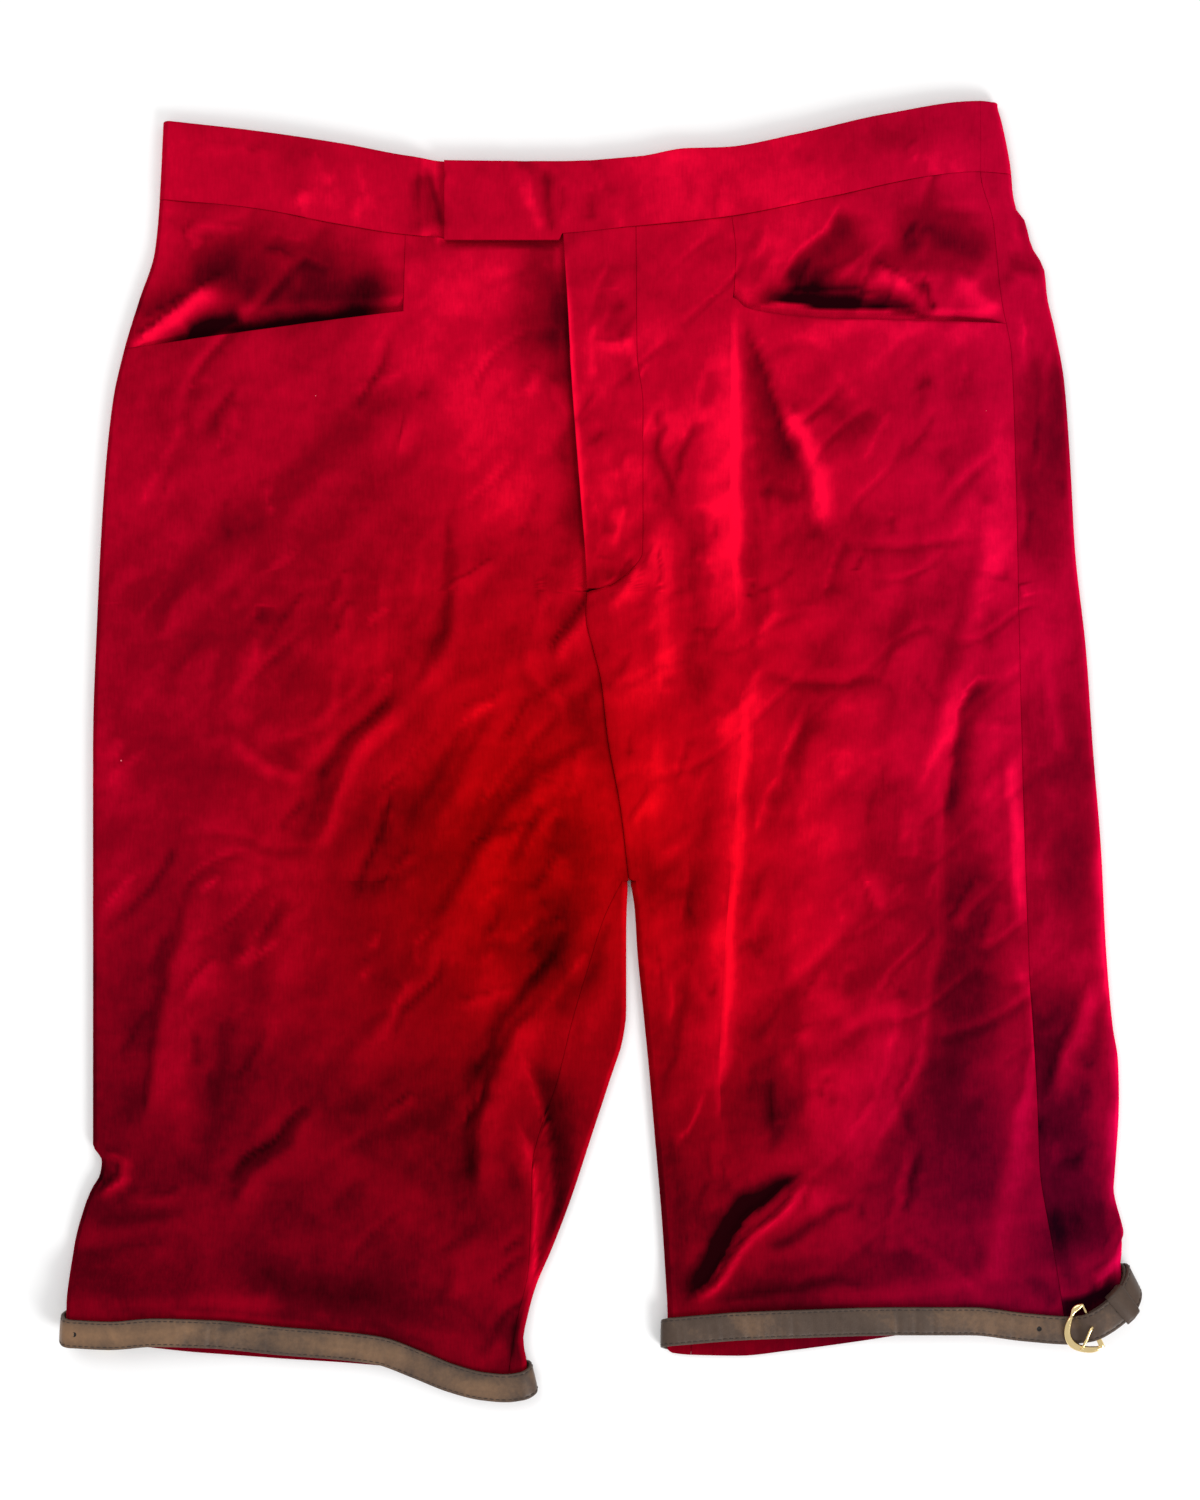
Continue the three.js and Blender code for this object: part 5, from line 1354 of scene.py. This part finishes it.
def relief(w, shader, groups, size, pores, strength, distance):
    """Fine grain as bump."""
    grain = use_group(w, groups["grain"], Size=size, Pores=pores)
    bump = w.add("ShaderNodeBump", {"Strength": strength, "Distance": distance,
                                    "Height": grain.outputs["Height"]})
    w.tree.links.new(bump.outputs["Normal"], shader.inputs["Normal"])


def velvet_material(name, groups, base_glow, mottling):
    """Velvet: glow sets how light it is, painted shade, highlight and sheen with the lie of its pile; rim
    marks its cut edges, painted a little darker as shade; cool sets how much blue, a painted sheen and shade.
    """
    material, w, shader = new_material(name)
    links = material.node_tree.links
    nap = use_group(w, groups["pile"])
    mottle = use_group(w, groups["mottle"], Coarse=26.0, Fine=160.0)
    patches = w.math("MULTIPLY", mottle.outputs["Patches"], mottling)
    specks = w.math("MULTIPLY", mottle.outputs["Specks"], 0.09)
    level = w.math("ADD", w.math("MULTIPLY", w.attribute("glow"), 0.44), w.math("ADD", patches, specks))
    level = w.math("ADD", level, nap.outputs["Streaks"])
    # Painted shade: the pile is a little darker along its cut edges and seams.
    darker = w.math("MULTIPLY", w.attribute("rim"), -0.03)
    level = w.math("ADD", w.math("ADD", level, base_glow), darker, clamp=True)
    red = w.add("ShaderNodeSeparateColor", {"Color": w.ramp(level, NAP_AND_SHADE_COLOURS)})
    blue = w.math("MULTIPLY", red.outputs["Blue"], w.attribute("cool"))
    dyed = w.add("ShaderNodeCombineColor", {"Red": red.outputs["Red"], "Green": red.outputs["Green"],
                                            "Blue": blue})
    links.new(w.blend(nap.outputs["Lint"], dyed.outputs["Color"], LINT), shader.inputs["Base Color"])
    relief(w, shader, groups, 0.0011, 0.0, 0.35, 0.0004)
    shader.inputs["Roughness"].default_value = 0.95
    shader.inputs["Specular IOR Level"].default_value = 0.0
    shader.inputs["Sheen Weight"].default_value = 0.3
    shader.inputs["Sheen Roughness"].default_value = 0.4
    shader.inputs["Sheen Tint"].default_value = (0.8, 0.004, 0.03, 1)
    return material


LEATHER_COLOURS = [(0.0, (0.028, 0.015, 0.009)), (0.5, (0.068, 0.042, 0.029)), (1.0, (0.235, 0.128, 0.066))]
EDGE_PAINT = (0.05, 0.034, 0.026, 1)


def leather_material(groups):
    """Brown leather: lighter along each strap and its middle as a painted sheen and wear; rim its painted
    edges.
    """
    material, w, shader = new_material("brown_leather")
    links = material.node_tree.links
    mottle = use_group(w, groups["mottle"], Coarse=45.0, Fine=500.0)
    level = w.math("MULTIPLY_ADD", w.attribute("sheen_and_wear"), 0.3, 0.4)
    level = w.math("ADD", level, w.math("MULTIPLY", mottle.outputs["Patches"], 0.4))
    level = w.math("ADD", level, w.math("MULTIPLY", mottle.outputs["Specks"], 0.14), clamp=True)
    edge = w.math("MULTIPLY", w.attribute("rim"), 0.6, clamp=True)
    links.new(w.blend(edge, w.ramp(level, LEATHER_COLOURS), EDGE_PAINT), shader.inputs["Base Color"])
    relief(w, shader, groups, 0.0009, 0.8, 0.22, 0.0003)
    rough = w.math("ADD", 0.42, w.math("MULTIPLY", mottle.outputs["Specks"], 0.07))
    links.new(rough, shader.inputs["Roughness"])
    shader.inputs["Specular IOR Level"].default_value = 0.3
    return material


def gold_material(groups):
    """Polished gold-tone metal, a little uneven."""
    material, w, shader = new_material("gold_metal")
    links = material.node_tree.links
    mottle = use_group(w, groups["mottle"], Coarse=120.0, Fine=900.0)
    level = w.math("ADD", 0.5, w.math("MULTIPLY", mottle.outputs["Patches"], 0.3), clamp=True)
    colour = w.ramp(level, [(0.0, (0.72, 0.5, 0.2)), (0.6, (0.9, 0.7, 0.36)), (1.0, (0.96, 0.8, 0.5))])
    links.new(colour, shader.inputs["Base Color"])
    rough = w.math("ADD", 0.14, w.math("MULTIPLY", mottle.outputs["Specks"], 0.06))
    links.new(rough, shader.inputs["Roughness"])
    shader.inputs["Metallic"].default_value = 1.0
    return material


def plain_fibre(name, groups, colour_low, colour_high, roughness):
    """Thread, and the painted shade of a pierced hole's inside."""
    material, w, shader = new_material(name)
    mottle = use_group(w, groups["mottle"], Coarse=300.0, Fine=1500.0)
    level = w.math("ADD", 0.5, w.math("MULTIPLY", mottle.outputs["Specks"], 0.5), clamp=True)
    colour = w.ramp(level, [(0.0, colour_low), (1.0, colour_high)])
    material.node_tree.links.new(colour, shader.inputs["Base Color"])
    shader.inputs["Roughness"].default_value = roughness
    return material


def stitch_tree(material):
    """Stitches along a line: Pitch apart, Long and Thick, lying along it."""
    tree = bpy.data.node_groups.new("stitch_line", "GeometryNodeTree")
    tree.interface.new_socket("Geometry", in_out="INPUT", socket_type="NodeSocketGeometry")
    sockets = {}
    for title, default in STITCH.items():
        socket = tree.interface.new_socket(title, in_out="INPUT", socket_type="NodeSocketFloat")
        socket.default_value = default
        sockets[title] = socket.identifier
    tree.interface.new_socket("Geometry", in_out="OUTPUT", socket_type="NodeSocketGeometry")
    w = Wires(tree)
    inside, out = w.add("NodeGroupInput"), w.add("NodeGroupOutput")
    resampled = w.add("GeometryNodeResampleCurve", {"Curve": inside.outputs["Geometry"],
                                                    "Length": inside.outputs["Pitch"]}, mode="LENGTH")
    ball = w.add("GeometryNodeMeshUVSphere", {"Segments": 6, "Rings": 5, "Radius": 1.0})
    size = w.add("ShaderNodeCombineXYZ", {"X": inside.outputs["Thick"], "Y": inside.outputs["Thick"],
                                          "Z": w.math("MULTIPLY", inside.outputs["Long"], 0.5)})
    tangent = w.add("GeometryNodeInputTangent")
    turn = w.add("FunctionNodeAlignRotationToVector", {"Vector": tangent.outputs["Tangent"]}, axis="Z")
    placed = w.add("GeometryNodeInstanceOnPoints", {"Points": resampled.outputs["Curve"],
                                                    "Instance": ball.outputs["Mesh"],
                                                    "Rotation": turn.outputs["Rotation"],
                                                    "Scale": size.outputs["Vector"]})
    real = w.add("GeometryNodeRealizeInstances", {"Geometry": placed.outputs["Instances"]})
    shade = w.add("GeometryNodeSetShadeSmooth", {"Geometry": real.outputs["Geometry"]})
    dyed = w.add("GeometryNodeSetMaterial", {"Geometry": shade.outputs["Geometry"]})
    dyed.inputs["Material"].default_value = material
    tree.links.new(dyed.outputs["Geometry"], out.inputs["Geometry"])
    return tree, sockets


def stitches(name, lines, tree, sockets, size):
    """A mesh of stitches along lines of points in millimetres."""
    curve = bpy.data.curves.new(f"{name}_line", "CURVE")
    curve.dimensions = "3D"
    for points in lines:
        spline = curve.splines.new("POLY")
        spline.points.add(len(points) - 1)
        spline.points.foreach_set("co", np.column_stack([points * MM, np.ones(len(points))]).ravel())
    guide = bpy.data.objects.new(f"{name}_line", curve)
    bpy.context.scene.collection.objects.link(guide)
    modifier = guide.modifiers.new("stitches", "NODES")
    modifier.node_group = tree
    for title, value in size.items():
        modifier[sockets[title]] = value
    bpy.context.view_layer.update()
    evaluated = guide.evaluated_get(bpy.context.evaluated_depsgraph_get())
    mesh = bpy.data.meshes.new_from_object(evaluated)
    made = bpy.data.objects.new(name, mesh)
    bpy.context.scene.collection.objects.link(made)
    bpy.data.objects.remove(guide)
    return made


def strap_stitches(side, way, rows, over, tree, sockets):
    """A line of stitches along each edge of a strap, up to its tip."""
    keep = rows < way.long + TIP_LENGTH - 4
    lines = [way.at(rows[keep], w, over[keep] + 1.78) for w in (-STITCH_LINE, STITCH_LINE)]
    return stitches(f"strap_stitches_{side}", lines, tree, sockets, STITCH)


CAMERA_HIGH = 1.258
FLOOR_DROP = 0.0003
FLOOR_HALF = 6


def light(name, where, size, power):
    """A square area light that faces the shorts."""
    lamp = bpy.data.lights.new(name, "AREA")
    lamp.shape = "RECTANGLE"
    lamp.size = lamp.size_y = size
    lamp.energy = power
    made = bpy.data.objects.new(name, lamp)
    made.location = where
    made.rotation_euler = (-Vector(where)).to_track_quat("-Z", "Y").to_euler()
    bpy.context.scene.collection.objects.link(made)


def studio():
    """The camera straight above, a white floor and a bright room with two soft lights."""
    camera = bpy.data.cameras.new("above")
    camera.lens = 60
    camera.sensor_width = 36
    seen = bpy.data.objects.new("above", camera)
    seen.location = (0, 0, CAMERA_HIGH)
    bpy.context.scene.collection.objects.link(seen)
    bpy.context.scene.camera = seen

    mesh = bpy.data.meshes.new("floor")
    corners = [(x * FLOOR_HALF, y * FLOOR_HALF, 0) for x, y in ((-1, -1), (1, -1), (1, 1), (-1, 1))]
    mesh.from_pydata(corners, [], [(0, 1, 2, 3)])
    floor = bpy.data.objects.new("floor", mesh)
    floor.location.z = -FLOOR_DROP
    bpy.context.scene.collection.objects.link(floor)
    material, _, shader = new_material("pale_floor")
    shader.inputs["Base Color"].default_value = (0.93, 0.93, 0.93, 1)
    shader.inputs["Roughness"].default_value = 0.9
    mesh.materials.append(material)

    world = bpy.data.worlds.new("room")
    world.use_nodes = True
    sky = world.node_tree.nodes["Background"]
    sky.inputs["Color"].default_value = (1, 1, 1, 1)
    sky.inputs["Strength"].default_value = 0.72
    bpy.context.scene.world = world
    light("key", (1.1, -1.3, 1.15), 0.8, 24)
    light("fill", (-0.9, 0.9, 1.7), 1.2, 12)
    bpy.context.scene.view_settings.view_transform = "Standard"


# Each cloth piece: the CAD node it stands for, slot, cut width and length, cut area, and what it lies on
CUTS = {
    "velvet_front_right": ("front_right", "velvet", (0.284, 0.59), 0.140, ["velvet_back_right"]),
    "velvet_yoke_right": ("yoke_right", "velvet", (0.146, 0.105), 0.0120, ["velvet_back_right"]),
    "velvet_back_right": ("back_right", "velvet", (0.29, 0.60), 0.145, ["floor"]),
    "velvet_front_left": ("front_left", "velvet", (0.25, 0.575), 0.106, ["velvet_back_left"]),
    "velvet_yoke_left": ("yoke_left", "velvet", (0.14, 0.105), 0.0120, ["velvet_back_left"]),
    "velvet_back_left": ("back_left", "velvet", (0.30, 0.60), 0.147, ["floor"]),
    "velvet_fly": ("fly_overlap", "velvet", (0.041, 0.184), 0.0058, ["velvet_front_right"]),
    "band_front_right": ("waistband_front_right", "waistband", (0.245, 0.062), 0.0090, ["band_back"]),
    "band_front_left": ("waistband_front_left", "waistband", (0.274, 0.072), 0.0098, ["band_front_right"]),
    "band_back": ("waistband_back", "waistband", (0.44, 0.07), 0.0155, ["floor"]),
}


def hand_over(piece, node, slot):
    """Hide the solid that a piece stands for, if any, and hang the piece under the root; slot is not used."""
    if node:
        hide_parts(node)
    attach(piece, "root")


def build():
    """Make every piece of the shorts."""
    groups = {"mottle": mottle_group(), "grain": grain_group(), "pile": pile_group()}
    materials = {
        "velvet": velvet_material("red_velvet", groups, 0.5, 0.12),
        "waistband": velvet_material("band_velvet", groups, 0.5, 0.10),
        "strap": leather_material(groups),
        "buckle": gold_material(groups),
        "thread": plain_fibre("brown_thread", groups, (0.02, 0.012, 0.01), (0.05, 0.032, 0.026), 0.8),
        # The dark of a hole is painted shade.
        "hole": plain_fibre("hole_painted_shade", groups, (0.004, 0.003, 0.003), (0.016, 0.012, 0.01), 0.9),
    }
    for piece in half_shorts(materials) + waistband(materials):
        node, slot, flat, area, rests_on = CUTS[piece.name]
        hand_over(piece, node, slot)

    tree, sockets = stitch_tree(materials["thread"])
    for side in ("right", "left"):
        way = StrapWay(side)
        belt, rows, over = strap(side, way, materials)
        parts = [
            (belt, f"strap_{side}", "strap"),
            (buckle(side, way, materials), f"buckle_{side}", "buckle"),
            (prong(side, way, materials), f"prong_{side}", "buckle"),
            (keeper(side, way, materials), f"keeper_{side}", "strap"),
            (strap_stitches(side, way, rows, over, tree, sockets), None, "strap"),
            *((hole, None, "strap") for hole in hole_rings(side, way, materials)),
        ]
        for part in parts:
            hand_over(*part)


studio()
build()
